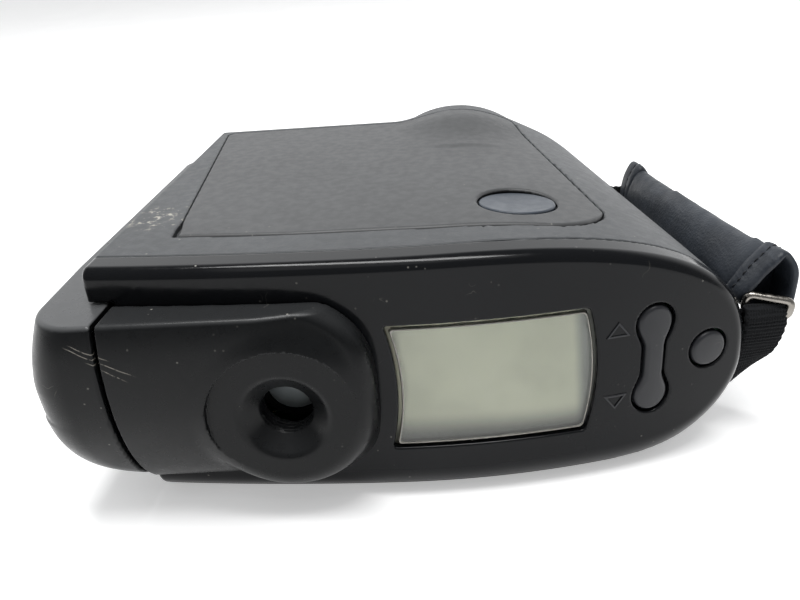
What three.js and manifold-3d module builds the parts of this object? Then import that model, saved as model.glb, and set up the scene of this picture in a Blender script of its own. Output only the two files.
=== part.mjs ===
// A flat compact digital camera of the binocular-shaped kind: eyepiece, status display and three
// rear controls at the back, lens and flash at the front, battery door on the left end and a padded
// hand strap on the right end. Millimetres. +X is to the right seen from the back, +Y runs from the
// eyepiece to the lens, +Z is up, and the origin lies on the flat base under the body's middle.
import * as THREE from 'three';
import { mergeVertices } from 'three/addons/utils/BufferGeometryUtils.js';
import Module from 'manifold-3d';

const wasm = await Module();
wasm.setup();

// ---- driving dimensions -------------------------------------------------------------------------
const GAP = 0.3;
const WALL = 2.2;
const TOP_Z = 56.7;
const STEP_Z = 49.4;
const SPLIT_Z = 30;
const TIER_LEFT_X = -60;
const DOOR_SEAM_X = -55;
const DOOR = { left: -73.4, front: 59, corner: 11, belly: 27, fullness: 2.7, droop: 12, droopWidth: 5.6 };
const RIGHT_X = 78.5;
const RIGHT_Z = 25;
const FRONT_Y = 62;
const REAR_Y = -60;
const REAR_APEX_X = 2;
const REAR_BOW_RIGHT = 0.00265;
const REAR_BOW_LEFT = 0.0009;
const BEZEL_DEPTH = 7.4;
const SIDE_TAPER = 0.165;
const TAPER_START_Y = -44;
const FLAT_TOP_END_X = 12;
const FLAT_BASE_END_X = 46;
const POD_REAR_Y = -69;
const POD_CENTRE_Z = 35;
const POD_CURVE_Y = 27;
const POD_RIGHT_X = -1.8;

const EYE = { x: -20.6, y: -67.4, z: 26.8, boss: 15.6, funnel: 9.5, hole: 5.4 };
const LENS = { x: 18.4, z: 29, housing: 30.9, ring: 28.4, barrel: 18, front: 68 };
const DISPLAY = { left: 0.6, right: 41.4, low: 13.6, high: 42.3, bulge: 1.9 };
const ROCKER = { x: 56, low: 19.3, high: 36.9, lobe: 3.8, waist: 2.3 };
const SELECT = { x: 68.6, z: 27.9, r: 4.1 };
const SHUTTER = { x: 30.1, y: -26.1, r: 8.7 };
const PANEL_DEPTH = 1.2;
const POST_TOP = 21;
const CELL = { r: 7.1, length: 50.2, x: -60.2, low: 17, high: 31.6 };
const HINGE = { x: -63.3, z: 46, pin: 0.9, knuckle: 1.9 };
const FLASH = { x: -38, z: 41, w: 21, h: 11 };
const PORT = { x: -36, z: 13.4, w: 26, h: 11 };
const PORT_HINGE = { y: 61.1, z: 9 };
const REAR_PIN_Y = -46;
const FRONT_PIN_Y = 32;
const TRIPOD_Y = 24;
const BOARD_Y = -42.6;
const SCREWS = [[-43, -34], [58, -28], [-44, 41], [46, 28]];
const BOARD_Z = 7.6;

// ---- geometry helpers ---------------------------------------------------------------------------
function solid(geometry) {
  const bare = geometry.index ? geometry.toNonIndexed() : geometry.clone();
  bare.deleteAttribute('normal');
  bare.deleteAttribute('uv');
  const merged = mergeVertices(bare, 1e-4);
  return new wasm.Manifold(new wasm.Mesh({
    numProp: 3,
    vertProperties: new Float32Array(merged.attributes.position.array),
    triVerts: new Uint32Array(merged.index.array),
  }));
}

function geometryOf(manifold) {
  const mesh = manifold.getMesh();
  const geometry = new THREE.BufferGeometry();
  geometry.setAttribute('position', new THREE.BufferAttribute(new Float32Array(mesh.vertProperties), 3));
  geometry.setIndex(new THREE.BufferAttribute(new Uint32Array(mesh.triVerts), 1));
  return geometry;
}

function join(...solids) {
  return solids.reduce((whole, next) => whole.add(next));
}

function cut(whole, ...tools) {
  return tools.reduce((rest, tool) => rest.subtract(tool), whole);
}

function box(x0, x1, y0, y1, z0, z1) {
  const geometry = new THREE.BoxGeometry(x1 - x0, y1 - y0, z1 - z0);
  geometry.translate((x0 + x1) / 2, (y0 + y1) / 2, (z0 + z1) / 2);
  return solid(geometry);
}

function outline(points) {
  return new THREE.Shape(points.map(([a, b]) => new THREE.Vector2(a, b)));
}

// Turns a geometry built along its own z so that its x, y, z run along the three given row axes.
const AXES = {
  x: new THREE.Matrix4().makeBasis(
    new THREE.Vector3(0, 1, 0), new THREE.Vector3(0, 0, 1), new THREE.Vector3(1, 0, 0)),
  y: new THREE.Matrix4().makeBasis(
    new THREE.Vector3(0, 0, 1), new THREE.Vector3(1, 0, 0), new THREE.Vector3(0, 1, 0)),
  z: new THREE.Matrix4(),
};

// A prism of a drawn outline: 'x' takes (y, z) points, 'y' takes (z, x) points and 'z' takes (x, y).
function prism(axis, shape, from, to, segments = 12) {
  const geometry = new THREE.ExtrudeGeometry(shape, {
    depth: to - from, bevelEnabled: false, curveSegments: segments,
  });
  geometry.translate(0, 0, from);
  geometry.applyMatrix4(AXES[axis]);
  return solid(geometry);
}

// A prism along y whose outline is given as (x, z) points.
function rearPrism(points, y0, y1) {
  return prism('y', outline(points.map(([x, z]) => [z, x])), y0, y1);
}

function cylinder(axis, [x, y, z], radius, length, segments = 32, endRadius = radius) {
  const geometry = new THREE.CylinderGeometry(endRadius, radius, length, segments);
  geometry.rotateX(Math.PI / 2);
  geometry.applyMatrix4(AXES[axis]);
  const along = { x: [length / 2, 0, 0], y: [0, length / 2, 0], z: [0, 0, length / 2] }[axis];
  geometry.translate(x + along[0], y + along[1], z + along[2]);
  return solid(geometry);
}

// A turned piece about an axis along y through (x, z); the profile holds (radius, y) points.
function turned(profile, x, z, segments = 40) {
  const geometry = new THREE.LatheGeometry(profile.map(([r, y]) => new THREE.Vector2(r, y)), segments);
  geometry.translate(x, 0, z);
  const made = solid(geometry);
  return made.volume() < 0 ? solid(flipped(geometry)) : made;
}

function flipped(geometry) {
  const loose = geometry.index ? geometry.toNonIndexed() : geometry.clone();
  const position = loose.attributes.position;
  const a = new THREE.Vector3();
  const b = new THREE.Vector3();
  for (let i = 0; i < position.count; i += 3) {
    a.fromBufferAttribute(position, i + 1);
    b.fromBufferAttribute(position, i + 2);
    position.setXYZ(i + 1, b.x, b.y, b.z);
    position.setXYZ(i + 2, a.x, a.y, a.z);
  }
  return loose;
}

// A closed skin over a row of rings with equal point counts; the end rings are capped flat.
function loft(rings) {
  const count = rings[0].length;
  const positions = [];
  const push = (p) => positions.push(p.x, p.y, p.z);
  for (let r = 0; r + 1 < rings.length; r += 1) {
    for (let i = 0; i < count; i += 1) {
      const j = (i + 1) % count;
      [rings[r][i], rings[r][j], rings[r + 1][j]].forEach(push);
      [rings[r][i], rings[r + 1][j], rings[r + 1][i]].forEach(push);
    }
  }
  capOf(rings[0]).forEach(([a, b, c]) => [rings[0][a], rings[0][c], rings[0][b]].forEach(push));
  const last = rings[rings.length - 1];
  capOf(last).forEach(([a, b, c]) => [last[a], last[b], last[c]].forEach(push));
  const geometry = new THREE.BufferGeometry();
  geometry.setAttribute('position', new THREE.BufferAttribute(new Float32Array(positions), 3));
  const made = solid(geometry);
  return made.volume() < 0 ? solid(flipped(geometry)) : made;
}

function capOf(ring) {
  const u = new THREE.Vector3().subVectors(ring[1], ring[0]).normalize();
  const normal = new THREE.Vector3();
  for (let i = 0; i < ring.length; i += 1) {
    normal.add(new THREE.Vector3().crossVectors(ring[i], ring[(i + 1) % ring.length]));
  }
  normal.normalize();
  const v = new THREE.Vector3().crossVectors(normal, u);
  const flat = ring.map((p) => new THREE.Vector2(p.dot(u), p.dot(v)));
  return THREE.ShapeUtils.triangulateShape(flat, []);
}

function range(from, to, steps) {
  return Array.from({ length: steps + 1 }, (_, i) => from + (to - from) * i / steps);
}

// ---- the body's surfaces ------------------------------------------------------------------------
function rearY(x) {
  const bow = x > REAR_APEX_X ? REAR_BOW_RIGHT : REAR_BOW_LEFT;
  return REAR_Y + bow * (x - REAR_APEX_X) ** 2;
}

function rearTurn(x) {
  return Math.atan(2 * REAR_BOW_RIGHT * (x - REAR_APEX_X));
}

function rightX(y) {
  return RIGHT_X - SIDE_TAPER * Math.max(0, y - TAPER_START_Y);
}

// The body's section across y, as seen from the back: flat top, drooping shoulder and full round end.
function bodySection(y, inset) {
  const right = rightX(y) - inset;
  const top = TOP_Z - inset;
  const left = TIER_LEFT_X + inset;
  const shoulder = 2.4;
  const belly = 2.6;
  const points = [[left, inset]];
  range(0, 1, 7).forEach((t) => {
    const a = t * Math.PI / 2;
    points.push([
      FLAT_BASE_END_X + (right - FLAT_BASE_END_X) * Math.sin(a) ** (2 / belly),
      RIGHT_Z - (RIGHT_Z - inset) * Math.cos(a) ** (2 / belly),
    ]);
  });
  range(0, 1, 9).slice(1).forEach((t) => {
    const a = t * Math.PI / 2;
    points.push([
      FLAT_TOP_END_X + (right - FLAT_TOP_END_X) * Math.abs(Math.cos(a)) ** (2 / shoulder),
      RIGHT_Z + (top - RIGHT_Z) * Math.sin(a) ** (2 / shoulder),
    ]);
  });
  points.push([left, top]);
  return points.map(([x, z]) => new THREE.Vector3(x, y, z));
}

// The plan outline from a rear curve set back by `back` to the front face set back by `inset`.
function planOutline(back, inset) {
  const points = range(-70, 86, 16).map((x) => [x, rearY(x) + back]);
  const arc = (cx, cy, r, from, to) => range(from, to, 5).map((t) => [
    cx + r * Math.cos(t * Math.PI / 180), cy + r * Math.sin(t * Math.PI / 180)]);
  return [
    ...points, [86, 44],
    ...arc(45, 48, 14 - inset, 0, 90),
    ...arc(TIER_LEFT_X + 12, FRONT_Y - 12, 12 - inset, 90, 180), [-70, FRONT_Y - 14],
  ];
}

function bodyBlock(back, inset, z0, z1) {
  const block = loft([-66, TAPER_START_Y, 70].map((y) => bodySection(y, inset)));
  const plan = prism('z', outline(planOutline(back, inset)), z0, z1);
  const clear = inset === 0 ? box(-80, DOOR_SEAM_X + 0.4, -80, 80, -1, STEP_Z)
    : box(-80, DOOR_SEAM_X + 0.2, -80, 80, -1, STEP_Z + inset);
  return cut(block.intersect(plan), clear);
}

// The lens housing swells out of the top and front of the body.
function lensHousing(inset) {
  const ring = (y, r) => range(0, 360, 40).slice(0, -1).map((t) => new THREE.Vector3(
    LENS.x + (r - inset) * Math.cos(t * Math.PI / 180), y, LENS.z + (r - inset) * Math.sin(t * Math.PI / 180)));
  const rings = [ring(28, 26.6), ring(38, 28.4), ring(48, 30.8), ring(54, LENS.housing),
    ring(64.5 - inset, LENS.housing), ring(66.4 - inset, LENS.housing - 1.8)];
  return loft(rings);
}

const UPPER = box(-100, 100, -100, 100, SPLIT_Z + GAP / 2, 100);
const LOWER = box(-100, 100, -100, 100, 0, SPLIT_Z - GAP / 2);

// ---- rear cover: bezel, pod and battery door ----------------------------------------------------
function displayOutline(grow) {
  const side = (x, sign) => range(-1, 1, 8).map((t) => [
    x + DISPLAY.bulge * (1 - t * t) + sign * grow,
    (DISPLAY.low + DISPLAY.high) / 2 + t * ((DISPLAY.high - DISPLAY.low) / 2 + grow)]);
  return [...side(DISPLAY.right, 1), ...side(DISPLAY.left, -1).reverse()];
}

function rockerOutline(grow) {
  const middle = (ROCKER.high - ROCKER.low) / 2;
  const r = ROCKER.lobe + grow;
  const waist = ROCKER.waist + grow;
  const right = [
    ...range(-90, 30, 6).map((t) => [r * Math.cos(t * Math.PI / 180), -middle + r * Math.sin(t * Math.PI / 180)]),
    [waist + 0.35, -middle * 0.4], [waist, 0], [waist + 0.35, middle * 0.4],
    ...range(-30, 90, 6).map((t) => [r * Math.cos(t * Math.PI / 180), middle + r * Math.sin(t * Math.PI / 180)]),
  ];
  return [...right, ...right.slice(1, -1).reverse().map(([x, z]) => [-x, z])];
}

function atRear(manifold, x, z) {
  return manifold.rotate([0, 0, rearTurn(x) * 180 / Math.PI]).translate([x, rearY(x), z]);
}

function rearBand(from, to, z0, z1) {
  const rear = range(-70, 86, 24).map((x) => [x, rearY(x) + from]);
  const front = range(-70, 86, 24).map((x) => [x, rearY(x) + to]).reverse();
  return prism('z', outline([...rear, ...front]), z0, z1);
}

const rockerZ = (ROCKER.low + ROCKER.high) / 2;

function rearBezel() {
  const shell = bodyBlock(0, 0, -1, 60).intersect(rearBand(0, BEZEL_DEPTH, -1, 60));
  const hollow = bodyBlock(WALL, WALL, -1, 60).intersect(rearBand(WALL, BEZEL_DEPTH + 4, -1, 60));
  const leftWall = box(TIER_LEFT_X + 0.02, TIER_LEFT_X + WALL, -70, -40, STEP_Z, TOP_Z);
  const floor = box(TIER_LEFT_X + 0.02, DOOR_SEAM_X + 4, -70, -40, STEP_Z, STEP_Z + 1.8);
  const skin = cut(shell, hollow);
  const closed = join(skin, shell.intersect(leftWall), shell.intersect(floor));
  return cut(
    closed,
    rearPrism(displayOutline(0.3), -80, -40),
    atRear(rearPrism(rockerOutline(0.35), -9, 12), ROCKER.x, rockerZ),
    atRear(cylinder('y', [0, -9, 0], SELECT.r + 0.35, 22, 28), SELECT.x, SELECT.z),
    cylinder('y', [EYE.x, -70, EYE.z], 11.5, 30, 32),
  );
}

// Rear curve of pod and battery door in (y, z): upright above, curving under below.
function tierRear(rear, top, low, steps) {
  const start = Math.asin((top - POD_CENTRE_Z) / POD_CENTRE_Z);
  return range(start, -Math.PI / 2, steps).map((a) => [
    rear + POD_CURVE_Y * (1 - Math.cos(a)),
    POD_CENTRE_Z + (a > 0 ? POD_CENTRE_Z : POD_CENTRE_Z - low) * Math.sin(a),
  ]);
}

function podOutline(inset) {
  const right = POD_RIGHT_X - inset;
  const top = STEP_Z - GAP - inset;
  return [
    [DOOR_SEAM_X + 0.4 + inset, -2], [right - 7, -2], [right - 1.7, 14], [right, 26], [right - 1.2, 35],
    [right - 4.2, 43], [right - 7.5, top - 1.8], [right - 11, top], [DOOR_SEAM_X + 0.4 + inset, top],
  ];
}

function eyepiecePod() {
  const block = (inset) => {
    const profile = [...tierRear(POD_REAR_Y + inset, STEP_Z - GAP - inset, inset, 11), [-30, inset],
      [-30, STEP_Z - GAP - inset]];
    return prism('x', outline(profile), DOOR_SEAM_X - 5, 5).intersect(rearPrism(podOutline(inset), -80, -30));
  };
  const bodySpace = box(-70, 10, -60, 0, -5, 60).intersect(
    prism('z', outline([...range(-70, 10, 10).map((x) => [x, rearY(x) - GAP]), [10, 0], [-70, 0]]), -5, 60));
  const boss = turned([[0, -40], [EYE.boss + 2.2, -40], [EYE.boss + 1.6, -62], [EYE.boss, EYE.y], [0, EYE.y]],
    EYE.x, EYE.z);
  const above = cylinder('y', [EYE.x, -80, EYE.z], EYE.boss, 80 + EYE.y, 40);
  const funnel = turned([[0, EYE.y - 1], [EYE.funnel + 0.5, EYE.y - 1], [EYE.funnel, EYE.y], [EYE.hole, EYE.y + 3.6],
    [EYE.hole, -50], [0, -50]], EYE.x, EYE.z);
  const hollow = cut(block(1.9), turned([[0, -78], [EYE.boss, -78], [EYE.boss, -50], [0, -50]], EYE.x, EYE.z));
  const outer = cut(join(block(0), boss.intersect(rearPrism(podOutline(0), -80, -30))), above);
  return cut(outer, hollow, bodySpace, funnel, box(-80, DOOR_SEAM_X + 0.4, -80, 0, -5, 60));
}

// The battery door is the whole left end of the lower tier, drawn in towards its far left.
function doorBlock(inset) {
  const round = (t, power) => (1 - Math.min(1, Math.max(0, t)) ** power) ** (1 / power);
  const left = DOOR.left + inset;
  const corner = DOOR.corner - inset;
  const first = inset === 0 ? DOOR_SEAM_X - 0.6 : DOOR_SEAM_X + 1;
  const stations = [first, -60, -64, -67.5, left + 2.6, left + 0.8, left];
  const rings = stations.map((x) => {
    const reach = corner * round((left + corner - x) / corner, 2);
    const low = DOOR.belly - (DOOR.belly - inset) * round((x + 46) / (left + 46), DOOR.fullness);
    const drop = DOOR.droop * Math.max(0, (left + DOOR.droopWidth - x) / DOOR.droopWidth) ** 1.6;
    const rear = POD_REAR_Y + inset + corner - reach;
    const front = DOOR.front - inset - corner + reach;
    const rearSide = tierRear(rear, STEP_Z - GAP - inset - drop, low, 10);
    const frontSide = rearSide.map(([y, z]) => [front - (y - rear) * 0.45, z]).reverse();
    return [...rearSide, ...frontSide].map(([y, z]) => new THREE.Vector3(x, y, z));
  });
  return loft(rings);
}

function batteryDoor() {
  const shell = cut(doorBlock(0), doorBlock(1.8));
  const knuckles = [REAR_PIN_Y, FRONT_PIN_Y + 8].map((y) => join(
    cylinder('y', [HINGE.x, y, HINGE.z], HINGE.knuckle, 5, 16),
    box(HINGE.x - 1.5, HINGE.x + 1.5, y, y + 5, HINGE.z + 0.9, HINGE.z + 2.4)));
  const bore = (y) => cylinder('y', [HINGE.x, y - 0.5, HINGE.z], HINGE.pin + 0.06, 6, 12);
  const slots = [REAR_PIN_Y + 5.5, FRONT_PIN_Y].map((y) => box(
    HINGE.x - 2.2, DOOR_SEAM_X, y, y + 7, HINGE.z - 3, STEP_Z));
  const tongue = box(-61.5, -53.6, -5, 5, 3.2, 4.8);
  return cut(join(shell, ...knuckles, tongue), bore(REAR_PIN_Y), bore(FRONT_PIN_Y + 8), ...slots);
}

// ---- main shells --------------------------------------------------------------------------------
function panelOutline(grow) {
  const corner = (cx, cy, r, from, to) => range(from, to, 5).map((t) => [
    cx + (r + grow) * Math.cos(t * Math.PI / 180), cy + (r + grow) * Math.sin(t * Math.PI / 180)]);
  return [
    [-45.6 - grow, -39.4 - grow], [-20, -41.6 - grow], [10, -42.2 - grow],
    ...corner(33, -25.5, 16.5, -78, -8),
    ...corner(37, 26, 4, 5, 80), ...corner(-54, 49, 3, 90, 172),
  ];
}

function topSkin(from, to, grow) {
  const slab = (inset) => loft([-66, TAPER_START_Y, 70].map((y) => bodySection(y, inset)));
  const area = prism('z', outline(panelOutline(grow)), 42, 60);
  return cut(slab(from).intersect(area), slab(to));
}

const windowHoles = () => [
  box(EYE.x - 8.3, EYE.x + 8.3, 50, 80, EYE.z - 6.3, EYE.z + 6.3),
  box(FLASH.x - FLASH.w / 2 - 0.3, FLASH.x + FLASH.w / 2 + 0.3, 50, 80,
    FLASH.z - FLASH.h / 2 - 0.3, FLASH.z + FLASH.h / 2 + 0.3),
  cylinder('y', [EYE.x, 50, 42.5], 3.3, 30, 20),
  cylinder('y', [EYE.x + 6.6, 50, 42.5], 2.3, 30, 20),
];

function bodyShell(half, thickness) {
  const outside = join(bodyBlock(BEZEL_DEPTH + GAP, 0, -1, 60), lensHousing(0)).intersect(half);
  const inside = join(bodyBlock(BEZEL_DEPTH - 3, thickness, -1, 60), lensHousing(thickness));
  const lowFloor = box(-100, 100, -100, 100, -10, thickness);
  const lensHole = cylinder('y', [LENS.x, 40, LENS.z], LENS.ring + GAP, 40, 40);
  return cut(outside, cut(inside, lowFloor), lensHole, ...windowHoles());
}

function topShell() {
  const recess = topSkin(-2, PANEL_DEPTH + GAP, 0.35);
  const hole = cylinder('z', [SHUTTER.x, SHUTTER.y, 40], SHUTTER.r - 2.4, 30, 32);
  const counterbore = cylinder('z', [SHUTTER.x, SHUTTER.y, 53.5], SHUTTER.r + 0.35, 10, 32);
  const posts = join(
    ...SCREWS.map(([x, y]) => cylinder('z', [x, y, POST_TOP + GAP], 3.2, 40, 16)),
    ...[-10, 10].map((dx) => cylinder('z', [SHUTTER.x + dx, SHUTTER.y, 46.5], 1.6, 20, 12)),
  ).intersect(bodyBlock(BEZEL_DEPTH + 2, 1.9, 0, 60));
  const bores = SCREWS.map(([x, y]) => cylinder('z', [x, y, 0], 1.05, 34, 12));
  return cut(join(bodyShell(UPPER, 3.2), posts), recess, hole, counterbore, ...bores);
}

function bottomShell() {
  const tripod = cylinder('z', [0, TRIPOD_Y, -1], 6.5 + GAP, 12, 32);
  const tripodBoss = cylinder('z', [0, TRIPOD_Y, 0], 9, 6.2, 32);
  const port = join(
    box(PORT.x - PORT.w / 2 - 0.3, PORT.x + PORT.w / 2 + 0.3, 50, 80,
      PORT.z - PORT.h / 2 - 0.6, PORT.z + PORT.h / 2 + 0.3),
    cylinder('x', [PORT.x - PORT.w / 2 - 1.2, PORT_HINGE.y, PORT_HINGE.z], 0.65, PORT.w + 2.4, 12));
  const anchor = box(60, 90, -37.4, -26.4, 7, 12.6);
  const screwPosts = SCREWS.map(([x, y]) => cylinder('z', [x, y, 1], 3.6, POST_TOP - 1, 16));
  const screwBores = SCREWS.map(([x, y]) => join(
    cylinder('z', [x, y, -1], 2.7, 3.2, 16), cylinder('z', [x, y, 0], 1.5, 30, 12)));
  const keepers = box(-54.6, -53.4, 6, 50, 1, 4);
  return cut(
    join(bodyShell(LOWER, WALL), tripodBoss, keepers, ...screwPosts),
    tripod, port, anchor, ...screwBores);
}

function topPanel() {
  const hole = cylinder('z', [SHUTTER.x, SHUTTER.y, 40], SHUTTER.r + 0.3, 30, 32);
  return cut(topSkin(0, PANEL_DEPTH, 0), hole, lensHousing(-GAP));
}

function shutterButton() {
  const cap = cylinder('z', [SHUTTER.x, SHUTTER.y, 54.8], SHUTTER.r, 0.7, 32);
  const crown = cylinder('z', [SHUTTER.x, SHUTTER.y, 55.5], SHUTTER.r, 0.3, 32, SHUTTER.r - 0.8);
  const stem = cylinder('z', [SHUTTER.x, SHUTTER.y, 51], 5.9, 4, 32);
  const flange = cylinder('z', [SHUTTER.x, SHUTTER.y, 51], 7.2, 0.8, 24);
  return join(cap, crown, stem, flange);
}

// ---- rear controls and display ------------------------------------------------------------------
function rockerButton() {
  const face = rearPrism(rockerOutline(0), -0.3, 3.4);
  const flange = rearPrism([[-5.4, -9], [5.4, -9], [5.4, 9], [-5.4, 9]], 3.1, 4.2);
  const pads = [-8.8, 8.8].map((z) => cylinder('y', [0, 3.8, z], 1.5, 1.2, 12));
  const pivot = cylinder('x', [-6.4, 4.3, 0], 0.9, 12.8, 12);
  return atRear(join(face, flange, ...pads, pivot), ROCKER.x, rockerZ);
}

function selectButton() {
  const face = cylinder('y', [0, -0.4, 0], SELECT.r - 0.5, 0.5, 28, SELECT.r);
  const body = cylinder('y', [0, 0, 0], SELECT.r, 2.7, 28);
  const stem = cylinder('y', [0, 2.6, 0], 1.4, 0.8, 12);
  return atRear(join(face, body, stem), SELECT.x, SELECT.z);
}

function displayWindow() {
  return rearBand(0.4, 1.6, 5, 50).intersect(rearPrism(displayOutline(0), -80, -40));
}

function displayModule() {
  const rear = range(-2.4, 45.6, 6).map((x) => [x, rearY(x) + 2.6]);
  const shape = outline([...rear, [45.6, BOARD_Y - 0.3], [-2.4, BOARD_Y - 0.3]]);
  return prism('z', shape, DISPLAY.low - 2.6, DISPLAY.high + 2.6);
}

function controlBoard() {
  return box(-2, 74, BOARD_Y, BOARD_Y + 1.6, 9, 47).intersect(bodyBlock(0, 4, 0, 60));
}

function rearSwitch(x, z, height) {
  const base = box(x - 2.6, x + 2.6, BOARD_Y - height + 0.7, BOARD_Y - 0.05, z - 2.6, z + 2.6);
  return join(base, cylinder('y', [x, BOARD_Y - height, z], 1.1, 1, 12));
}

// ---- viewfinder ---------------------------------------------------------------------------------
function eyeTube() {
  const outer = cylinder('y', [EYE.x, -54.8, EYE.z], 7.4, 112, 32);
  const bore = cylinder('y', [EYE.x, -56, EYE.z], 6.2, 120, 32);
  return cut(outer, bore);
}

function lensElement(x, z, y, radius, thickness, bulge) {
  const curve = range(0, 1, 4).map((t) => [radius * t, y - bulge * (1 - t * t)]);
  return turned([...curve, [radius, y + thickness], [0, y + thickness]], x, z, 28);
}

// ---- camera head --------------------------------------------------------------------------------
function lensRing() {
  return turned([
    [LENS.ring, 55], [LENS.ring, 66.6], [LENS.ring - 1.2, LENS.front], [LENS.ring - 4.6, LENS.front],
    [LENS.ring - 5.4, 65], [LENS.barrel + 1, 61.6], [LENS.barrel + 1, 55], [LENS.ring, 55],
  ], LENS.x, LENS.z, 44);
}

function lensBarrel() {
  return turned([
    [LENS.barrel, 34], [LENS.barrel, 63], [LENS.barrel - 1.6, 63.6], [11.5, 57.6], [10.4, 57.6], [10.4, 42],
    [8.6, 42], [8.6, 34], [LENS.barrel, 34],
  ], LENS.x, LENS.z, 36);
}

function sensorBoard() {
  return box(LENS.x - 19, LENS.x + 19, 30.4, 32, 11, 48);
}

function imageSensor() {
  return box(LENS.x - 8, LENS.x + 8, 32.05, 33.7, LENS.z - 6.5, LENS.z + 6.5);
}

// ---- flash --------------------------------------------------------------------------------------
function flashReflector() {
  const trough = range(-1, 1, 8).map((t) => [50.4 + 8.6 * t * t, FLASH.z + 4.9 * t]);
  const shell = range(-1, 1, 8).map((t) => [49.6 + 9.4 * t * t, FLASH.z + 5.4 * t]);
  const outside = prism('x', outline([...shell]), FLASH.x - 10.2, FLASH.x + 10.2);
  const inside = prism('x', outline([...trough, [70, FLASH.z + 4.9], [70, FLASH.z - 4.9]]),
    FLASH.x - 9.7, FLASH.x + 9.7);
  const tubeHoles = cylinder('x', [FLASH.x - 15, 54, FLASH.z], 1.8, 30, 14);
  return cut(outside, inside, tubeHoles);
}

function flashTube() {
  return cylinder('x', [FLASH.x - 10.8, 54, FLASH.z], 1.4, 21.6, 14);
}

// ---- battery bay --------------------------------------------------------------------------------
function cell(y, z) {
  return join(
    cylinder('y', [CELL.x, y + 1, z], CELL.r, CELL.length - 1, 20),
    cylinder('y', [CELL.x, y, z], 2.6, 1.1, 12));
}

function batteryTray() {
  const wall = box(-50.9, -49.3, -52, 53.5, 4, 46.6);
  const ends = [-54.5, 52.2].map((y) => box(-61.5, -49.3, y, y + 1.3, 16, 37));
  const link = box(-50.9, -49.3, -54.5, -51, 13.5, 42);
  const arms = [REAR_PIN_Y + 6.5, FRONT_PIN_Y + 1].map((y) => join(
    cylinder('y', [HINGE.x, y, HINGE.z], HINGE.knuckle, 5, 16),
    box(HINGE.x, -50, y, y + 5, HINGE.z - 1.6, HINGE.z + 1.6)));
  const bores = [REAR_PIN_Y + 6, FRONT_PIN_Y].map((y) => cylinder(
    'y', [HINGE.x, y, HINGE.z], HINGE.pin + 0.06, 7, 12));
  return cut(join(wall, ...ends, link, ...arms), ...bores);
}

function hingePin(y) {
  return cylinder('y', [HINGE.x, y + 0.3, HINGE.z], HINGE.pin, 11.4, 12);
}

function contactPlate(y) {
  return box(-63, -55, y, y + 0.6, 15, 36);
}

function springContact() {
  const coil = (z) => cylinder('y', [CELL.x, 48.7, z + 1.2], 1.8, 2.9, 14, 2.6);
  return join(contactPlate(51.5), coil(CELL.low), coil(CELL.high - 2.4));
}

// ---- boards and sockets -------------------------------------------------------------------------
function mainBoard() {
  const board = join(
    box(-47.5, 54, -39, 43, BOARD_Z, BOARD_Z + 1.6),
    box(-48.5, -23, 42, 57.5, BOARD_Z, BOARD_Z + 1.6));
  return cut(board, ...SCREWS.map(([x, y]) => cylinder('z', [x, y, 0], 4.2, 20, 16)));
}

function onBoard(x, y, w, d, h) {
  return box(x - w / 2, x + w / 2, y - d / 2, y + d / 2, BOARD_Z + 1.65, BOARD_Z + 1.65 + h);
}

function socket(x, w, h, r) {
  const body = onBoard(x, 51.5, w, 13, h);
  return cut(body, cylinder('y', [x, 47, BOARD_Z + 1.65 + h / 2], r, 20, 20));
}

function portCover() {
  const plate = box(PORT.x - PORT.w / 2, PORT.x + PORT.w / 2, 60.3, 61.9,
    PORT.z - PORT.h / 2, PORT.z + PORT.h / 2);
  const trunnions = cylinder('x', [PORT.x - PORT.w / 2 - 0.9, PORT_HINGE.y, PORT_HINGE.z], 0.5, PORT.w + 1.8, 12);
  const notch = box(PORT.x - 4, PORT.x + 4, 61.4, 63, PORT.z + 3.9, PORT.z + 4.7);
  return cut(join(plate, trunnions), notch);
}

function tripodBush() {
  const body = cylinder('z', [0, TRIPOD_Y, 0.1], 6.5, 6, 32);
  return cut(body, cylinder('z', [0, TRIPOD_Y, -1], 3.1, 6.4, 24));
}

function caseScrew([x, y]) {
  return join(cylinder('z', [x, y, 0.3], 2.4, 1.6, 16), cylinder('z', [x, y, 1.8], 0.9, 29, 12));
}

// ---- hand strap ---------------------------------------------------------------------------------
// The strap's centre line over the hand, from the front anchor to the rear one.
const STRAP_ROUTE = [
  [75.4, 50, 28], [77.2, 33, 28.9], [78.8, 16, 30.2], [80.8, -1.5, 32], [83, -19, 34.5], [84.9, -36, 37],
];

function strapSleeve() {
  const curve = new THREE.CatmullRomCurve3(STRAP_ROUTE.map((p) => new THREE.Vector3(...p)));
  const rings = range(0, 1, 9).map((t) => {
    const centre = curve.getPoint(t);
    const lean = (12 + 40 * t ** 1.3) * Math.PI / 180;
    const out = new THREE.Vector3(Math.cos(lean), 0, -Math.sin(lean));
    const up = new THREE.Vector3(Math.sin(lean), 0, Math.cos(lean));
    const thick = 3.2 + 1.4 * t;
    const half = 13 - 5.6 * t * t;
    return range(0, 360, 12).slice(0, -1).map((a) => {
      const c = Math.cos(a * Math.PI / 180);
      const s = Math.sin(a * Math.PI / 180);
      return centre.clone().addScaledVector(out, thick * c)
        .addScaledVector(up, half * Math.sign(s) * Math.abs(s) ** 0.75);
    });
  });
  return loft(rings);
}

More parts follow.
